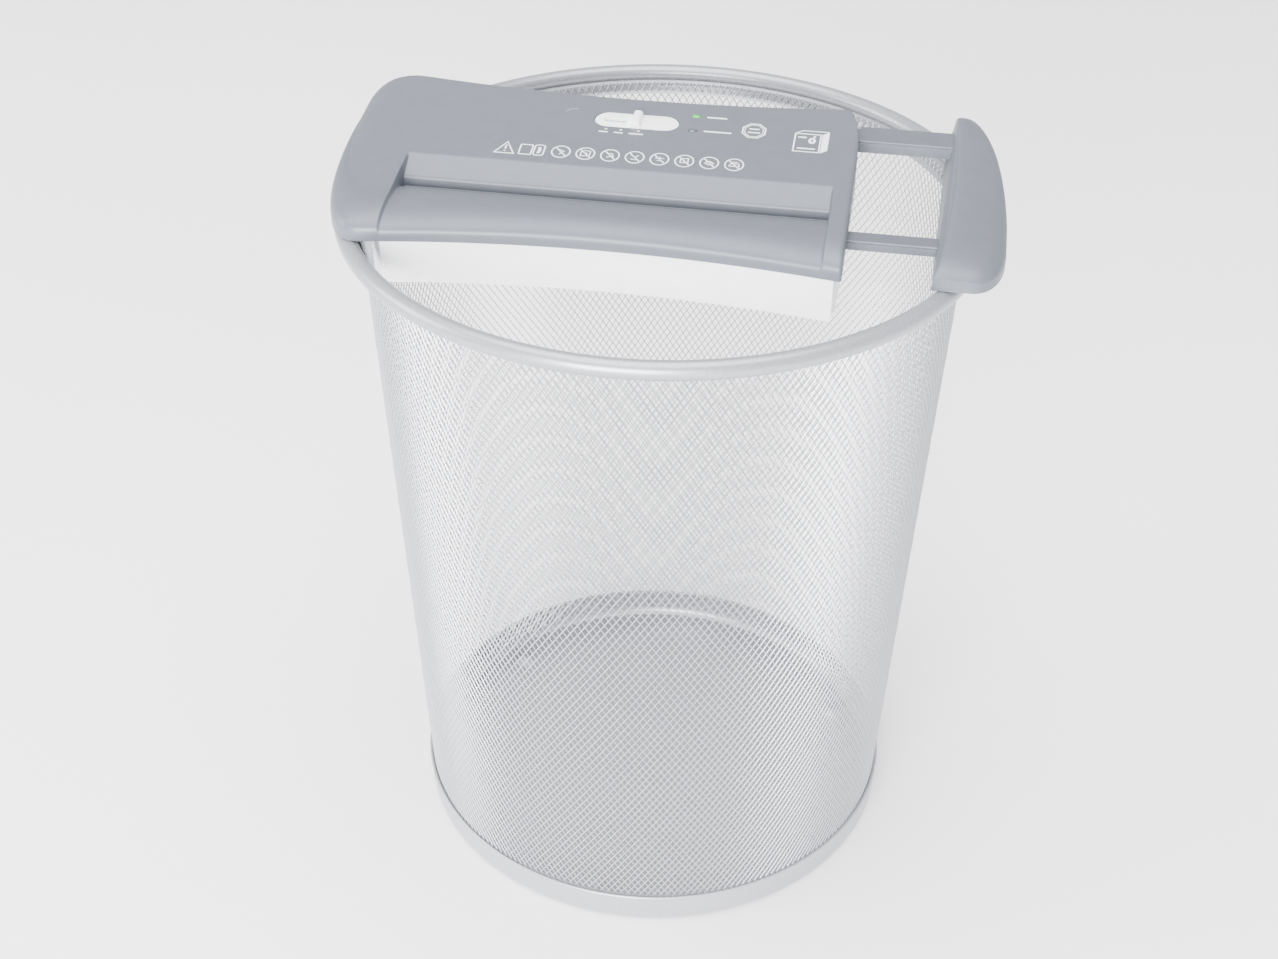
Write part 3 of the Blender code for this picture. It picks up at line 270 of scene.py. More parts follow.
# ---- Rolled rim ----
# A steel strip rolled into a tube round the top of the mesh, with a hem that pinches the strands on the
# inside. It is lacquered with the basket, but its silver is painted darker than the pan's and the mesh's,
# as painted shade.
rim_silver_painted_shade = silver_lacquered_steel("silver_lacquered_rim_painted_shade", "9C9DA3", "8F9096")
tube = bow((RIM_RADIUS, RIM_Z), RIM_TUBE, 218, -128, 30)
hem_inner = [(mesh_radius(RIM_Z - 9) - 1.0, RIM_Z - 9.5), (mesh_radius(RIM_Z - 9) - 0.2, RIM_Z - 9.7)]
hem_outer = [(mesh_radius(RIM_Z - 8) + 0.4, RIM_Z - 8), (mesh_radius(RIM_Z - 5) + 0.7, RIM_Z - 5)]
rim_profile = tube + list(reversed(hem_outer)) + list(reversed(hem_inner))
rim_points, rim_faces = turned(rim_profile, 144, closed=True)
rim = new_piece("rolled_rim", rim_points, rim_faces, rim_silver_painted_shade, 40)
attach(rim, "basket")
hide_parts("rim_tube")


# ---- Lower housing ----
# White ABS tub moulded in one piece. Its flange lies on the rim and carries the cutting block, its skirt
# shows under the cover and its floor slants back below the cutters, with a long outlet for the strips.
def moulded_abs(name, light, dark, roughness):
    """Moulded ABS: a spark-eroded mould leaves a fine matt grain, drawn at 0.5 mm, ten times coarser."""
    material, tree, shader, place = start_material(name, roughness, ior=1.54)
    mottle(tree, shader, place, 9.0, light, dark)
    grain = add_node(
        tree, "ShaderNodeTexNoise", {"Vector": place, "Scale": 1 / (0.5 * MM), "Detail": 1.0}
    )
    emboss(tree, shader, grain.outputs["Fac"], 0.02, 0.35)
    return material


def softened(name, node, material, width):
    """The CAD piece drawn again, with edges sharper than 35 degrees rounded by a width in millimetres."""
    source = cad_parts[node]
    shape = bmesh.new()
    shape.from_mesh(source.data)
    bmesh.ops.transform(shape, matrix=source.matrix_world, verts=shape.verts)
    bmesh.ops.remove_doubles(shape, verts=shape.verts, dist=0.002 * MM)
    bmesh.ops.dissolve_limit(shape, angle_limit=math.radians(2), verts=shape.verts, edges=shape.edges)
    edges = [e for e in shape.edges if e.is_manifold and e.calc_face_angle(0) > math.radians(35)]
    bmesh.ops.bevel(
        shape, geom=edges, offset=width * MM, segments=3, profile=0.5, affect="EDGES", clamp_overlap=True
    )
    bmesh.ops.triangulate(shape, faces=[f for f in shape.faces if len(f.verts) > 4])
    mesh = bpy.data.meshes.new(name)
    shape.to_mesh(mesh)
    shape.free()
    mesh.materials.append(material)
    mesh.shade_smooth()
    mesh.set_sharp_from_angle(angle=math.radians(40))
    piece = bpy.data.objects.new(name, mesh)
    bpy.context.scene.collection.objects.link(piece)
    return piece


def fit(piece, body, node, slot):
    """Ties a new piece to its body and hides the CAD node it stands for; the slot it takes its finish from
    is not used.
    """
    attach(piece, body)
    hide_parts(node)


def dress(nodes, material):
    """Gives CAD pieces that are shown as they are their finish."""
    for node in nodes:
        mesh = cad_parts[node].data
        mesh.materials.clear()
        mesh.materials.append(material)


def moulded_rubber():
    """Black nitrile rubber: matt, with a faint bloom in patches."""
    material, tree, shader, place = start_material("moulded_rubber", roughness=0.72)
    mottle(tree, shader, place, 2.5, "35363A", "28292C")
    return material


white_abs = moulded_abs("white_moulded_abs", "F4F5F7", "EEEFF2", 0.42)
rubber = moulded_rubber()
fit(softened("housing_tub", "lower_housing", white_abs, 0.8), "head", "lower_housing", "white_abs")
dress(["seat_pad_1", "seat_pad_2", "cord_gland"], rubber)


# ---- Cutting block ----
# Two zinc-plated steel side plates, tied by rods, hold the hardened cutting discs in bushes of sintered
# bronze. Combs of black plastic between the discs lift the strips off them.
def rolled_steel(name, light, dark, roughness, grain_along):
    """Rolled or ground steel: fine parallel scratches about 0.4 mm apart, drawn out along one axis."""
    material, tree, shader, place = start_material(name, roughness, metallic=1.0)
    mottle(tree, shader, place, 4.0, light, dark)
    stretch = add_node(tree, "ShaderNodeMapping", {"Vector": place, "Scale": grain_along})
    scratches = add_node(
        tree, "ShaderNodeTexNoise",
        {"Vector": stretch.outputs["Vector"], "Scale": 1 / (0.4 * MM), "Detail": 2.0},
    )
    emboss(tree, shader, scratches.outputs["Fac"], 0.02, 0.4)
    return material


def sintered_bronze():
    """Sintered bronze: pressed powder, oiled, so its pores show as fine dark specks about 0.3 mm apart."""
    material, tree, shader, place = start_material("sintered_bronze", roughness=0.38, metallic=1.0)
    mottle(tree, shader, place, 0.3, "B8925A", "8E6B3C")
    return material


def filled_plastic():
    """Glass-filled black nylon: dull, with short fibres that mottle its skin."""
    material, tree, shader, place = start_material("glass_filled_nylon", roughness=0.55, ior=1.53)
    noise = mottle(tree, shader, place, 0.8, "303236", "202225")
    emboss(tree, shader, noise.outputs["Fac"], 0.03, 0.4)
    return material


zinc_plate = rolled_steel("zinc_plated_sheet", "B9BCC0", "A2A5AA", 0.34, (1, 1, 0.05))
ground_steel = rolled_steel("ground_cutter_steel", "A9ABAF", "8A8C91", 0.26, (1, 0.05, 0.05))
black_nylon = filled_plastic()
dress(["left_plate", "right_plate", "cover_screw_1", "cover_screw_2", "motor_screw_1", "motor_screw_2"],
      zinc_plate)
dress(["front_tie_rod", "rear_tie_rod", "idler_axle", "sensor_pin", "front_sync_gear", "rear_sync_gear",
       "motor_pinion", "front_cutter", "rear_cutter"], ground_steel)
dress(["front_left_bush", "rear_left_bush", "front_right_bush", "rear_right_bush"], sintered_bronze())
dress(["front_stripper", "rear_stripper", "paper_throat", "sensor_switch"], black_nylon)


# ---- Motor and gears ----
# A can motor drives the rear cutter through two acetal reductions, moulded with a slight waxy gloss.
def moulded_acetal():
    """Acetal: a milky plastic that lets a little light into its surface."""
    material, tree, shader, place = start_material("moulded_acetal", roughness=0.36, ior=1.48)
    mottle(tree, shader, place, 5.0, "ECE9DF", "E2DED2")
    shader.inputs["Subsurface Weight"].default_value = 0.12
    shader.inputs["Subsurface Scale"].default_value = 1.5 * MM
    return material


can_steel = rolled_steel("plated_motor_can", "C2C4C7", "A9ACB0", 0.3, (0.05, 1, 1))
acetal = moulded_acetal()
dress(["motor_body"], can_steel)
dress(["drive_gear", "idler_gear", "sensor_lever"], acetal)


# ---- Top cover ----
# Grey ABS shell, screwed up from below. A long recess leads the sheet into the slot, with a rounded lip in
# front of it, and a sloping panel behind it that carries the switch and the lamps.
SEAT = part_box("lower_housing")[1].z / MM - 1.8
cover_low, cover_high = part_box("top_cover")
HEAD_LEFT = cover_low.x / MM
HEAD_RIGHT = cover_high.x / MM
SLOT_LEFT = -134.5
SLOT_RIGHT = 89.5
SLOT_Y = -33.0
WAIST_X = -20.0
PANEL_SLOPE = 0.105
RECESS_BACK_Y = -17.0
LIP_CREST_Y = -55.0
COVER_WALL = 2.2
BOW_REACH = 116.0
FRONT_WAIST_Y = -71.0
FRONT_BOW = 10.0
BACK_WAIST_Y = 57.5
BACK_BOW = 7.0
PANEL_HEIGHT = 19.0
LIP_HEIGHT = 12.6
LEFT_CORNER = 26.0
LEFT_CORNER_FRONT = 3.0
LEFT_CORNER_BACK = 1.4
LEFT_CREST_SHIFT = 92.0
LEFT_TOP_ROUNDING = 12.0
RIGHT_CORNER = 9.0
RIGHT_CORNER_BACK = 6.0
RIGHT_ROUNDING = 2.5
END_WALL = 1.4
ROLL_STEPS = 12


def front_edge(x):
    return FRONT_WAIST_Y - FRONT_BOW * ((x - WAIST_X) / BOW_REACH) ** 2


def back_edge(x):
    return BACK_WAIST_Y + BACK_BOW * ((x - WAIST_X) / BOW_REACH) ** 2


def panel_height(y):
    return PANEL_HEIGHT + PANEL_SLOPE * (y - RECESS_BACK_Y)


def end_share(distance, radius):
    """How far a rounded end has fallen away at a distance from its outline."""
    inward = min(max(distance, 0.0), radius)
    return radius - math.sqrt(radius ** 2 - (radius - inward) ** 2)


def mixed(a, b, share):
    return a + (b - a) * share


def smooth(share):
    held = min(max(share, 0.0), 1.0)
    return held * held * (3 - 2 * held)


def rounded_path(corners):
    """Points along a path of (y, z, radius), with each corner rounded by its radius."""
    points = []
    last = len(corners) - 1
    for i, (y, z, radius) in enumerate(corners):
        if not radius or i in (0, last):
            points.append((y, z))
            continue
        here = Vector((y, z))
        before = Vector(corners[i - 1][:2]) - here
        after = Vector(corners[i + 1][:2]) - here
        reach = min(radius, 0.45 * before.length, 0.45 * after.length)
        start = here + before.normalized() * reach
        end = here + after.normalized() * reach
        for step in range(6):
            t = step / 5
            points.append(tuple((1 - t) ** 2 * start + 2 * t * (1 - t) * here + t ** 2 * end))
    return points


def cover_section(x):
    """Outline of the cover across X, from its front edge over the lip, slot and panel to its back edge."""
    from_left = x - HEAD_LEFT
    from_right = HEAD_RIGHT - x
    corner = end_share(from_left, LEFT_CORNER)
    front = front_edge(x) + LEFT_CORNER_FRONT * corner + 0.6 * end_share(from_right, RIGHT_ROUNDING)
    back = back_edge(x) - LEFT_CORNER_BACK * corner
    back -= RIGHT_CORNER_BACK * end_share(from_right, RIGHT_CORNER)
    drop = 0.45 * end_share(from_left, LEFT_TOP_ROUNDING) + 0.8 * end_share(from_right, RIGHT_ROUNDING)
    inside = smooth((x - SLOT_LEFT + 2.2) / END_WALL) * smooth((SLOT_RIGHT + 2.2 - x) / END_WALL)
    crest = min(LIP_CREST_Y + LEFT_CREST_SHIFT * corner / LEFT_CORNER, mixed(front, back, 0.75))
    top = mixed(panel_height(crest), LIP_HEIGHT, inside) - drop
    roll = crest - front
    corners = [(front, 0.0, 0), (front, 0.2 * top, 0)]
    for step in range(ROLL_STEPS + 1):
        angle = math.pi / 2 * step / ROLL_STEPS
        corners.append((front + roll * (1 - math.cos(angle)), top * (0.35 + 0.65 * math.sin(angle)), 0))
    lip = ((SLOT_Y - 12, 12.0), (SLOT_Y - 4.4, 10.2), (SLOT_Y - 4.0, 6.0), (SLOT_Y + 3.8, 6.0),
           (SLOT_Y + 4.4, 11.8), (RECESS_BACK_Y - 0.4, 18.0), (RECESS_BACK_Y + 1.6, 19.17))
    radii = (3.0, 1.6, 0.8, 0.8, 1.6, 1.5, 1.0)
    flat = back_edge(x) - 4
    beyond = [(y, z, radius) for (y, z), radius in zip(lip, radii)]
    beyond += [(mixed(RECESS_BACK_Y + 1.6, flat, share), None, 0) for share in (0.25, 0.5, 0.75, 1)]
    for y, z, radius in beyond:
        closed_up = mixed(crest, back - 4, (y - LIP_CREST_Y) / (flat - LIP_CREST_Y))
        plain = panel_height(closed_up)
        corners.append((closed_up, (plain if z is None else mixed(plain, z, inside)) - drop, radius))
    corners.append((back, panel_height(back) - drop, 3.4))
    corners.append((back, 6.0, 0))
    corners.append((back, 0.0, 0))
    return rounded_path(corners)


def cover_stations():
    """Places along the cover: close together where an end or the recess's end wall is rounded."""
    left = [HEAD_LEFT + d for d in (0, 0.15, 0.5, 1.1, 2, 3.2, 5, 7.2, 10, 13, 17, 22, 28)]
    slot = [SLOT_LEFT - 2.3 + 0.2 * i for i in range(9)] + [SLOT_RIGHT + 0.7 + 0.2 * i for i in range(9)]
    middle = [mixed(SLOT_LEFT + 2, SLOT_RIGHT - 2, i / 24) for i in range(25)]
    right = [HEAD_RIGHT - d for d in (8, 6, 4.4, 3.2, 2.5, 1.8, 1.1, 0.6, 0.2, 0)]
    return sorted(left + slot + middle + right)


def lofted(name, loops, material, crease, wall):
    """A skin through open loops, closed at both ends of the row and given a wall inward."""
    count = len(loops[0])
    points = [point for loop in loops for point in loop]
    faces = []
    for row in range(len(loops) - 1):
        for i in range(count - 1):
            low = row * count + i
            faces.append((low, low + 1, low + count + 1, low + count))
    for row in (0, len(loops) - 1):
        for i in range(count // 2):
            low, high = row * count + i, row * count + count - 1 - i
            faces.append((low, low + 1, high - 1, high) if high - low > 2 else (low, low + 1, high))
    piece = new_piece(name, points, faces, material, crease)
    shell = piece.modifiers.new("wall", "SOLIDIFY")
    shell.thickness = wall * MM
    shell.offset = -1
    return piece


def cut(piece, name, points, faces):
    """Sets a shape to be cut out of a piece, and returns the shape so that it can be dropped afterwards."""
    tool = new_piece(name, points, faces, piece.data.materials[0])
    modifier = piece.modifiers.new(name, "BOOLEAN")
    modifier.operation = "DIFFERENCE"
    modifier.object = tool
    return tool


def drawn_out(outline, low, high, place):
    """Points and faces of an outline drawn out between two depths and put in place."""
    count = len(outline)
    points = [place(a, b, depth) for depth in (low, high) for a, b in outline]
    faces = [(i, (i + 1) % count, count + (i + 1) % count, count + i) for i in range(count)]
    faces += [tuple(reversed(range(count))), tuple(range(count, 2 * count))]
    return points, faces


def bake_modifiers(piece, tools):
    """Applies a piece's modifiers, drops the cutting shapes and shades what is left."""
    bpy.context.view_layer.update()
    made = bpy.data.meshes.new_from_object(piece.evaluated_get(bpy.context.evaluated_depsgraph_get()))
    piece.modifiers.clear()
    piece.data = made
    for tool in tools:
        bpy.data.objects.remove(tool, do_unlink=True)
    made.shade_smooth()
    made.set_sharp_from_angle(angle=math.radians(38))


def level(x, y, depth):
    """Square to the floor, at a height above the head's seat."""
    return (x, y, SEAT + depth)


def stadium(length, width, centre=(0, 0), steps=14):
    radius = width / 2
    reach = length / 2 - radius
    right = bow((centre[0] + reach, centre[1]), radius, -90, 90, steps)
    return right + bow((centre[0] - reach, centre[1]), radius, 90, 270, steps)


def rounded_box(length, width, radius, centre=(0, 0)):
    points = []
    for sx, sy, start in ((1, -1, -90), (1, 1, 0), (-1, 1, 90), (-1, -1, 180)):
        corner = (centre[0] + sx * (length / 2 - radius), centre[1] + sy * (width / 2 - radius))
        points += bow(corner, radius, start, start + 90, 5)
    return points


def square_to_panel(x0, y0):
    """Places points on the panel, square to it, round a point of it."""
    tilt = math.atan(PANEL_SLOPE)

    def place(a, b, depth):
        y = y0 + b * math.cos(tilt) - depth * math.sin(tilt)
        return (x0 + a, y, SEAT + panel_height(y0) + b * math.sin(tilt) + depth * math.cos(tilt))
    return place


SWITCH = (-20.5, 34.0)
READY_LAMP = (11.0, 43.5)
WARNING_LAMP = (11.0, 28.5)
LAMP_SIZE = (5.0, 2.8)
SWITCH_WINDOW = (47.0, 16.0)
RAIL_GAP = 0.4
SLOT_WIDTH = 6.4
SLOT_END_GAP = 0.4
OPENING_DEPTH = 11.0
OPENING_BACK_LIMIT = 58.6
RAILS = {"front_rail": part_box("front_rail"), "rear_rail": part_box("rear_rail")}
grey_abs = moulded_abs("grey_moulded_abs", "52565F", "4F535C", 0.42)
cover = lofted(
    "grey_cover", [[(x, y, SEAT + z) for y, z in cover_section(x)] for x in cover_stations()],
    grey_abs, 38, COVER_WALL,
)
slot_middle = ((SLOT_LEFT + SLOT_RIGHT) / 2, SLOT_Y)
slot_outline = stadium(SLOT_RIGHT - SLOT_LEFT - SLOT_END_GAP, SLOT_WIDTH, slot_middle, 4)
cutters = [cut(cover, "slot_cut", *drawn_out(slot_outline, -8, 9, level))]
window = drawn_out(stadium(*SWITCH_WINDOW), -8, 4, square_to_panel(*SWITCH))
cutters.append(cut(cover, "switch_window", *window))
for lamp in (READY_LAMP, WARNING_LAMP):
    window = drawn_out(rounded_box(*LAMP_SIZE, 1.2), -8, 4, square_to_panel(*lamp))
    cutters.append(cut(cover, f"lamp_window_{lamp[1]:.0f}", *window))
for name, (low, high) in RAILS.items():
    low_y, high_y = low.y / MM - RAIL_GAP, min(high.y / MM + RAIL_GAP, OPENING_BACK_LIMIT)
    low_z, high_z = low.z / MM - RAIL_GAP, high.z / MM + RAIL_GAP
    outline = [(low_y, low_z), (high_y, low_z), (high_y, high_z), (low_y, high_z)]
    tool = drawn_out(outline, HEAD_RIGHT - OPENING_DEPTH, HEAD_RIGHT + 4, lambda a, b, depth: (depth, a, b))
    cutters.append(cut(cover, f"{name}_opening", *tool))
bake_modifiers(cover, cutters)
fit(cover, "head", "top_cover", "grey_abs")


# ---- Switch, lamps and board ----
# A white oval insert snaps into the panel, and a ridge slides along it between off, automatic and reverse.
# Two lamps beside it show through coloured lenses, and all of them stand on the board underneath.
def coloured_lens(name, light, dark, glow):
    """Tinted acrylic, polished: the colour sits deep under a glossy face, and a lit lamp glows in it."""
    material, tree, shader, place = start_material(name, roughness=0.12, ior=1.49)
    mottle(tree, shader, place, 1.5, light, dark)
    shader.inputs["Emission Color"].default_value = linear(light)
    shader.inputs["Emission Strength"].default_value = glow
    return material


def solder_masked_board():
    """Glass-fibre board under green solder mask: glossy, with copper tracks 3 mm apart showing through."""
    material, tree, shader, place = start_material("solder_masked_board", roughness=0.3)
    tracks = add_node(tree, "ShaderNodeTexBrick", {"Vector": place, "Scale": 1 / (12 * MM),
                                                   "Color1": linear("2C6A3B"), "Color2": linear("25602F"),
                                                   "Mortar": linear("3E8550"), "Mortar Size": 0.06})
    tree.links.new(tracks.outputs["Color"], shader.inputs["Base Color"])
    return material


def skinned(rings):
    """Points and faces of a skin round a row of closed rings, with both ends filled."""
    count = len(rings[0])
    last = count * (len(rings) - 1)
    points = [point for ring in rings for point in ring]
    faces = [tuple(reversed(range(count))), tuple(range(last, last + count))]
    for low in range(0, last, count):
        for i in range(count):
            j = (i + 1) % count
            faces.append((low + i, low + j, low + count + j, low + count + i))
    return points, faces


def shrunk(outline, levels, place):
    """Rings of an outline at each (scale, depth) of a moulded edge."""
    return [[place(a * scale, b * scale, depth) for a, b in outline] for scale, depth in levels]


TRACK_SIZE = (46.4, 15.4)
GROOVE_SIZE = (20.3, 4.0)
GROOVE_MIDDLE = (-8.25, 0)
KNOB_FOOT = -0.25
LENS_GAP = 0.4
track_place = square_to_panel(*SWITCH)
track_levels = ((1.0, -2.4), (1.0, -0.75), (0.985, -0.5), (0.96, -0.42))
track_rings = shrunk(stadium(*TRACK_SIZE), track_levels, track_place)
track = new_piece("oval_track", *skinned(track_rings), white_abs, 30)
groove = drawn_out(stadium(*GROOVE_SIZE, GROOVE_MIDDLE), -4, 2, track_place)
bake_modifiers(track, [cut(track, "groove", *groove)])
fit(track, "head", "switch_track", "white_abs")

knob_profile = rounded_path([(-2.6, KNOB_FOOT, 0), (-2.3, 2.2, 0.5), (-1.2, 3.0, 0.8), (1.2, 3.0, 0.8),
                             (2.3, 2.2, 0.5), (2.6, KNOB_FOOT, 0)])
knob_points, knob_faces = skinned([
    [track_place(a, end, KNOB_FOOT + (h - KNOB_FOOT) * scale) for a, h in knob_profile]
    for end, scale in ((-6.8, 0.8), (-6.3, 0.97), (-5.6, 1.0), (5.6, 1.0), (6.3, 0.97), (6.8, 0.8))
])
for outline, low, high in ((rounded_box(3.0, 5.6, 0.5, (-3.8, 0)), KNOB_FOOT, 0.9),
                           (rounded_box(3.2, 3.0, 0.3), -3.0, 0.2),
                           (rounded_box(39, 6.4, 0.8), -3.9, -2.7)):
    more, faces = drawn_out(outline, low, high, track_place)
    knob_faces += [tuple(len(knob_points) + i for i in face) for face in faces]
    knob_points += more
knob = new_piece("sliding_knob", knob_points, knob_faces, white_abs, 30)
fit(knob, "mode_slider", "mode_slider", "white_abs")

for name, lamp, node, slot, material in (
    ("green_lens_dome", READY_LAMP, "ready_lens", "green_lens",
     coloured_lens("green_acrylic", "12A82F", "0A8A22", 0.9)),
    ("smoked_lens_dome", WARNING_LAMP, "warning_lens", "smoked_lens",
     coloured_lens("smoked_acrylic", "4B505B", "3C414B", 0.0)),
):
    outline = rounded_box(LAMP_SIZE[0] - LENS_GAP, LAMP_SIZE[1] - LENS_GAP, 1.1)
    dome_levels = ((1.0, -4.0), (1.0, 0.05), (0.93, 0.3), (0.75, 0.5), (0.45, 0.6))
    dome_rings = shrunk(outline, dome_levels, square_to_panel(*lamp))
    fit(new_piece(name, *skinned(dome_rings), material, 50), "head", node, slot)
dress(["control_board"], solder_masked_board())
dress(["slide_switch"], black_nylon)


# ---- Printed marks ----
# Pad-printed light grey ink on the panel: what may be fed, what may not, and what the switch and lamps
# mean. Lettering is drawn as plain dashes. One small crescent of painted shade stands for a mark moulded in
# the panel.
def printed_ink_and_painted_shade(name, light, dark):
    """Pad-printing ink, also laid as the crescent's painted shade: a film a few hundredths of a millimetre
    thick, drier than the plastic.
    """
    material, tree, shader, place = start_material(name, roughness=0.6)
    mottle(tree, shader, place, 0.8, light, dark)
    return material


def ribbon(path, width, closed=False):
    """Points and faces of a flat line of a width along a path, with mitred corners."""
    points = []
    count = len(path)
    for i in range(count):
        here = Vector(path[i])
        before = Vector(path[i - 1]) if closed or i else here
        after = Vector(path[(i + 1) % count]) if closed or i < count - 1 else here
        sides = []
        for a, b in ((before, here), (here, after)):
            step = b - a
            if step.length > 0:
                sides.append(Vector((-step.y, step.x)).normalized())
        normal = sum(sides, Vector((0, 0))).normalized()
        reach = width / 2 / max(normal.dot(sides[0]), 0.5)
        points += [tuple(here - normal * reach), tuple(here + normal * reach)]
    faces = []
    for i in range(count if closed else count - 1):
        j = (i + 1) % count
        faces.append((2 * i, 2 * j, 2 * j + 1, 2 * i + 1))
    return points, faces


def oval(centre, rx, ry, steps=32):
    span = [math.radians(360 * i / steps) for i in range(steps)]
    return [(centre[0] + rx * math.cos(a), centre[1] + ry * math.sin(a)) for a in span]


def printed(name, marks, material):
    """One piece of thin ink, or of the crescent's painted shade, from marks given as (points, faces) on the
    panel.
    """
    points = []
    faces = []
    for flat, mark_faces in marks:
        first = len(points)
        points += [(x, y, SEAT + panel_height(y) + INK_TOP) for x, y in flat]
        points += [(x, y, SEAT + panel_height(y) + INK_FOOT) for x, y in flat]
        count = len(flat)
        faces += [tuple(first + i for i in face) for face in mark_faces]
        faces += [tuple(first + count + i for i in reversed(face)) for face in mark_faces]
    piece = new_piece(name, points, faces, material, 60)
    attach(piece, "head")
    return piece


def dash(x, y, length, width):
    return ribbon([(x - length / 2, y), (x + length / 2, y)], width)


ICON_PITCH = 13.3
ICON_START = -55.6
ICON_Y = -3.2
ICON_REACH = (4.9, 5.7)
THIN_LINE = 0.6
LINE = 0.75
INK_TOP = 0.05
INK_FOOT = -0.1
marks = []
marks.append(ribbon([(-91.0, -8.6), (-80.4, -8.6), (-85.7, 2.6)], LINE, closed=True))
marks.append(ribbon([(-85.7, -0.6), (-85.7, -4.6)], 0.9))
marks.append(dash(-85.7, -6.4, 0.9, 0.9))
marks.append(ribbon(rounded_box(6.6, 9.6, 0.6, (-74.6, -3.6)), LINE, closed=True))
marks.append(ribbon(rounded_box(5.4, 10.2, 1.6, (-67.4, -3.4)), LINE, closed=True))
marks.append(ribbon([(-67.6, -6.4), (-67.0, -3.4), (-67.6, -0.6)], 1.6))
glyphs = (
    [[(-2, 2.4), (1.6, 0.6), (-0.6, -2.6)]],
    [[(-2.4, 2.6), (0, 3), (2.4, 2.6), (2.4, -2), (-2.4, -2.6), (-2.4, 2.6)], [(-1, 0.8), (1.2, 0.4)]],
    [[(-1.8, 1.6), (0.8, 2), (2, -1.8)], [(-1.8, -2), (0.6, -0.8)]],
    [[(-2.2, 2), (0, 0.2), (2, 2)], [(-2, -2), (1.6, -2.4)]],
    [[(-2.4, 0.8), (2.4, 0.8)], [(-1.4, -1.2), (1.8, -1.6)], [(0, 2.4), (0, -0.4)]],
    [[(-2, 2.2), (2, 2.6), (2, -1.4), (-2, -1.8), (-2, 2.2)]],
    [[(-2.4, -0.4), (0, 1.6), (2.4, -0.4), (0, -2), (-2.4, -0.4)]],
    [[(-2.8, -1.6), (-1.6, 1), (2.4, 1), (2.8, -1.6), (-2.8, -1.6)], [(-1.2, 2.4), (1.8, 2.4)]],
)
for number, glyph in enumerate(glyphs):
    x = ICON_START + ICON_PITCH * number
    y = ICON_Y + 0.1 * number
    marks.append(ribbon(oval((x, y), *ICON_REACH), LINE, closed=True))
    marks.append(ribbon([(x - 3.3, y + 4.1), (x + 3.3, y - 4.1)], LINE))
    for stroke in glyph:
        marks.append(ribbon([(x + a, y + b) for a, b in stroke], THIN_LINE))
for x, length in ((-36.8, 5.0), (-28.6, 5.0), (-19.0, 8.0)):
    marks.append(dash(x, 20.4, length, 1.1))
    marks.append(dash(x + 1.0, 23.4, 1.3, 1.1))
marks.append(dash(22.6, 43.2, 11.0, 1.3))
marks.append(dash(24.6, 28.6, 15.0, 1.3))
badge = (44.0, 33.0)
for rx, ry, width in ((6.6, 7.6, 0.8), (5.3, 6.3, 0.45)):
    eight = [(badge[0] + rx * math.cos(math.radians(22.5 + 45 * i)),
              badge[1] + ry * math.sin(math.radians(22.5 + 45 * i))) for i in range(8)]
    marks.append(ribbon(eight, width, closed=True))
marks.append(dash(badge[0], badge[1] + 1.8, 5.6, 1.1))
marks.append(dash(badge[0], badge[1] - 1.8, 6.6, 1.1))
stack = [(66.6, 16.0), (80.4, 16.0), (80.4, 34.0), (66.6, 34.0)]
marks.append(ribbon(stack, 0.8, closed=True))
marks.append(([(81.2, 15.4), (84.8, 18.6), (84.8, 37.2), (81.2, 34.2)], [(0, 1, 2, 3)]))
marks.append(ribbon([(66.8, 34.4), (70.4, 37.2), (84.6, 37.2)], 0.7))
marks.append(dash(70.6, 30.4, 4.4, 1.3))
marks.append(ribbon(oval((76.0, 27.4), 1.3, 2.2, steps=16), 1.4, closed=True))
marks.append(ribbon([(76.4, 29.4), (77.4, 32.6)], 1.0))
marks.append(dash(73.4, 19.2, 9.6, 1.2))
printed("panel_print", marks, printed_ink_and_painted_shade("light_grey_ink", "E4E6EA", "D9DBE0"))
# The crescent is painted shade standing for a mark moulded in the panel; its grey is lighter than the
# panel's.
crescent = bow((-55.4, 36.4), 5.4, 75, 160, 14)
printed("panel_crescent_painted_shade", [ribbon(crescent, 1.2)], printed_ink_and_painted_shade("crescent_shadow", "73767D", "696C73"))


# ---- Extension arm ----
# Two grey ABS rails slide out of the cover's right end, each with a fine bead along its front edge. A
# hollow cap, screwed to their ends, rests on the far side of the rim on rubber pads.
CAP_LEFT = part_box("end_cap")[0].x / MM
CAP_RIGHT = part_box("end_cap")[1].x / MM
RAIL_LIMIT_INSIDE = 54.4
CAP_WALL = 2.4
CAP_FRONT_CORNER = 16.0
CAP_BACK_CORNER = 26.0
CAP_FALL = 5.0
CAP_LEAN = 3.6
rail_grey = moulded_abs("grey_rail_abs", "50545D", "4B4F58", 0.4)
for name, (low, high) in RAILS.items():
    y0, y1 = low.y / MM, high.y / MM
    z0, z1 = low.z / MM, high.z / MM
    section = rounded_path([
        (y0, z0, 0), (y0, z1 - 1.5, 0.1), (y0 + 0.5, z1 - 1.3, 0.1), (y0 + 0.5, z1 - 0.7, 0.1),
        (y0 + 0.1, z1 - 0.5, 0.1), (y0 + 0.3, z1, 0.2), (y1 - 0.6, z1, 0.3), (y1, z1 - 0.6, 0.3),
        (y1, z0, 0),
    ])
    places = ((low.x / MM, RAIL_LIMIT_INSIDE), (HEAD_RIGHT - 0.6, RAIL_LIMIT_INSIDE),
              (HEAD_RIGHT - 0.55, math.inf), (CAP_LEFT + 4.2, math.inf))
    rail_rings = [[(x, min(y, limit), z) for y, z in section] for x, limit in places]
    fit(new_piece(f"grooved_{name}", *skinned(rail_rings), rail_grey, 30), "arm", name, "grey_abs")


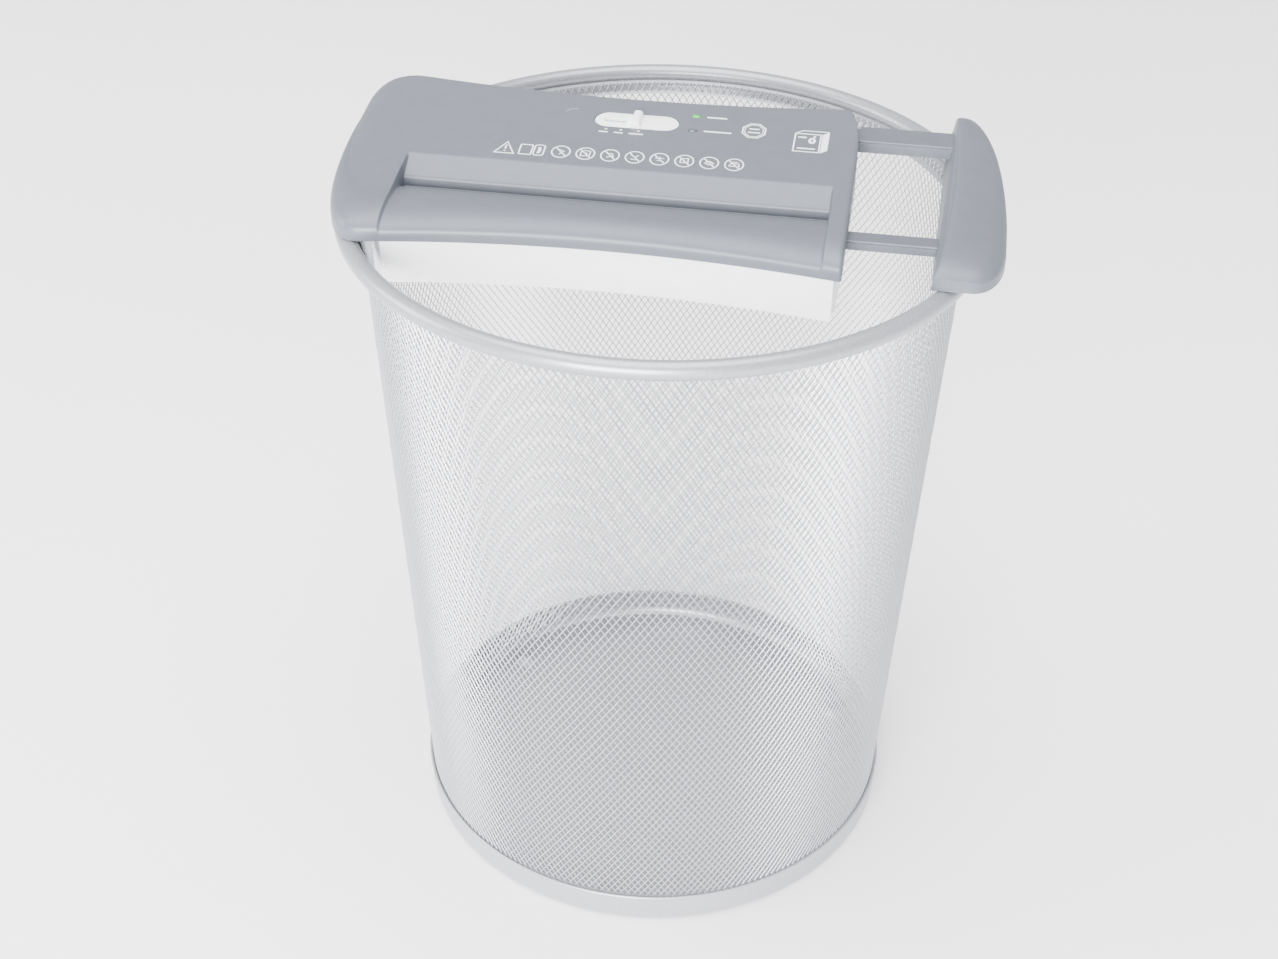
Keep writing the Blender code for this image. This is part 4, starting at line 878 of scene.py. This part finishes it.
def cap_section(x):
    """Outline of the cap across X: a wall up to the crest, a crown sloping away and the back wall."""
    reach = CAP_RIGHT - x
    near = x - CAP_LEFT
    out = near / (CAP_RIGHT - CAP_LEFT)
    front = front_edge(HEAD_RIGHT) + 2.1 * end_share(reach, CAP_FRONT_CORNER)
    back = back_edge(HEAD_RIGHT) + 10.0 - 4.4 * end_share(reach, CAP_BACK_CORNER)
    drop = CAP_FALL * out ** 2 + 0.5 * end_share(reach, 9) + 0.3 * end_share(near, 4)
    lift = PANEL_HEIGHT - drop
    corners = [(front, 0), (front, 0.3 * lift)]
    for share, height in ((0.0, 0.55), (0.012, 0.72), (0.04, 0.87), (0.085, 0.955), (0.14, 0.99),
                          (0.2, 1.0), (0.35, 1), (0.5, 1), (0.65, 1), (0.78, 1), (0.86, 0.99),
                          (0.915, 0.965), (0.955, 0.91), (0.985, 0.8), (0.998, 0.6)):
        y = mixed(front, back, share)
        corners.append((y, height * (panel_height(y) - drop)))
    corners += [(back, 0.25 * lift), (back, 0)]
    inner = (1 - out) ** 3
    loop = []
    for y, z in corners:
        bend = -0.0005 * (y - 15) ** 2 * inner
        lean = CAP_LEAN * inner * smooth(z / 22)
        loop.append((x + 0.4 * inner + bend + lean, y, SEAT + z))
    return loop


cap_shares = (0, 0.006, 0.02, 0.045, 0.08, 0.13, 0.2, 0.28, 0.37, 0.46, 0.55, 0.63, 0.7, 0.76, 0.81,
              0.86, 0.9, 0.935, 0.96, 0.98, 0.993, 1.0)
cap_loops = [cap_section(mixed(CAP_LEFT, CAP_RIGHT - 0.2, share)) for share in cap_shares]
cap = lofted("grey_end_cap", cap_loops, grey_abs, 38, CAP_WALL)
bake_modifiers(cap, [])
fit(cap, "arm", "end_cap", "grey_abs")
dress(["cap_base"], grey_abs)
dress(["front_rail_screw_1", "rear_rail_screw_1", "rear_rail_screw_2"], zinc_plate)
dress(["arm_pad_1", "arm_pad_2"], rubber)


# ---- Floor, light and camera ----
# A flat near-white floor under broad soft lights, one in front, the largest above and a weak one at the
# left, as for a catalogue picture. The camera looks down on the head from the front.
def paper_sweep():
    """Matt white background paper, with the slight unevenness of a long roll."""
    material, tree, shader, place = start_material("background_paper", roughness=0.9)
    mottle(tree, shader, place, 400.0, "FBFBFC", "F9F9FA")
    return material


FLOOR_REACH = 4000.0
FLOOR_Z = -0.5
floor_corners = []
for sx, sy in ((-1, -1), (1, -1), (1, 1), (-1, 1)):
    floor_corners.append((sx * FLOOR_REACH, sy * FLOOR_REACH, FLOOR_Z))
floor = new_piece("floor", floor_corners, [(0, 1, 2, 3)], paper_sweep())


def soft_light(name, place, target, size, power):
    """A square soft box of a size in metres, turned towards a target."""
    lamp = bpy.data.lights.new(name, "AREA")
    lamp.shape = "SQUARE"
    lamp.size = size
    lamp.energy = power
    box = bpy.data.objects.new(name, lamp)
    box.location = place
    box.rotation_euler = (Vector(target) - Vector(place)).to_track_quat("-Z", "Y").to_euler()
    bpy.context.scene.collection.objects.link(box)


BASKET_MIDDLE = (0, 0, 0.3)
ROOM_LIGHT = 1.5
soft_light("front_box", (-0.3, -2.6, 0.8), BASKET_MIDDLE, 1.4, 260)
soft_light("top_box", (-0.2, -0.2, 2.8), BASKET_MIDDLE, 2.4, 150)
soft_light("left_box", (-2.4, -0.4, 1.2), BASKET_MIDDLE, 1.4, 60)
world = bpy.data.worlds.new("soft_room")
world.use_nodes = True
world.node_tree.nodes["Background"].inputs["Color"].default_value = (1, 1, 1, 1)
world.node_tree.nodes["Background"].inputs["Strength"].default_value = ROOM_LIGHT
bpy.context.scene.world = world

CAMERA_PLACE = (0.1288, -0.9077, 0.8738)
CAMERA_ROLL = 0.679
FOCAL_LENGTH = 53.11
forward = Vector((-0.1247, 0.8053, -0.5797)).normalized()
level_right = Vector((0.9882, 0.1530, 0)).normalized()
level_up = level_right.cross(forward)
roll = math.radians(CAMERA_ROLL)
right = math.cos(roll) * level_right + math.sin(roll) * level_up
up = math.cos(roll) * level_up - math.sin(roll) * level_right
lens = bpy.data.cameras.new("camera")
lens.lens = FOCAL_LENGTH
lens.sensor_width = 36
lens.clip_start = 0.05
camera = bpy.data.objects.new("camera", lens)
turn = Matrix((right, up, -forward)).transposed().to_4x4()
camera.matrix_world = Matrix.Translation(CAMERA_PLACE) @ turn
bpy.context.scene.collection.objects.link(camera)
bpy.context.scene.camera = camera
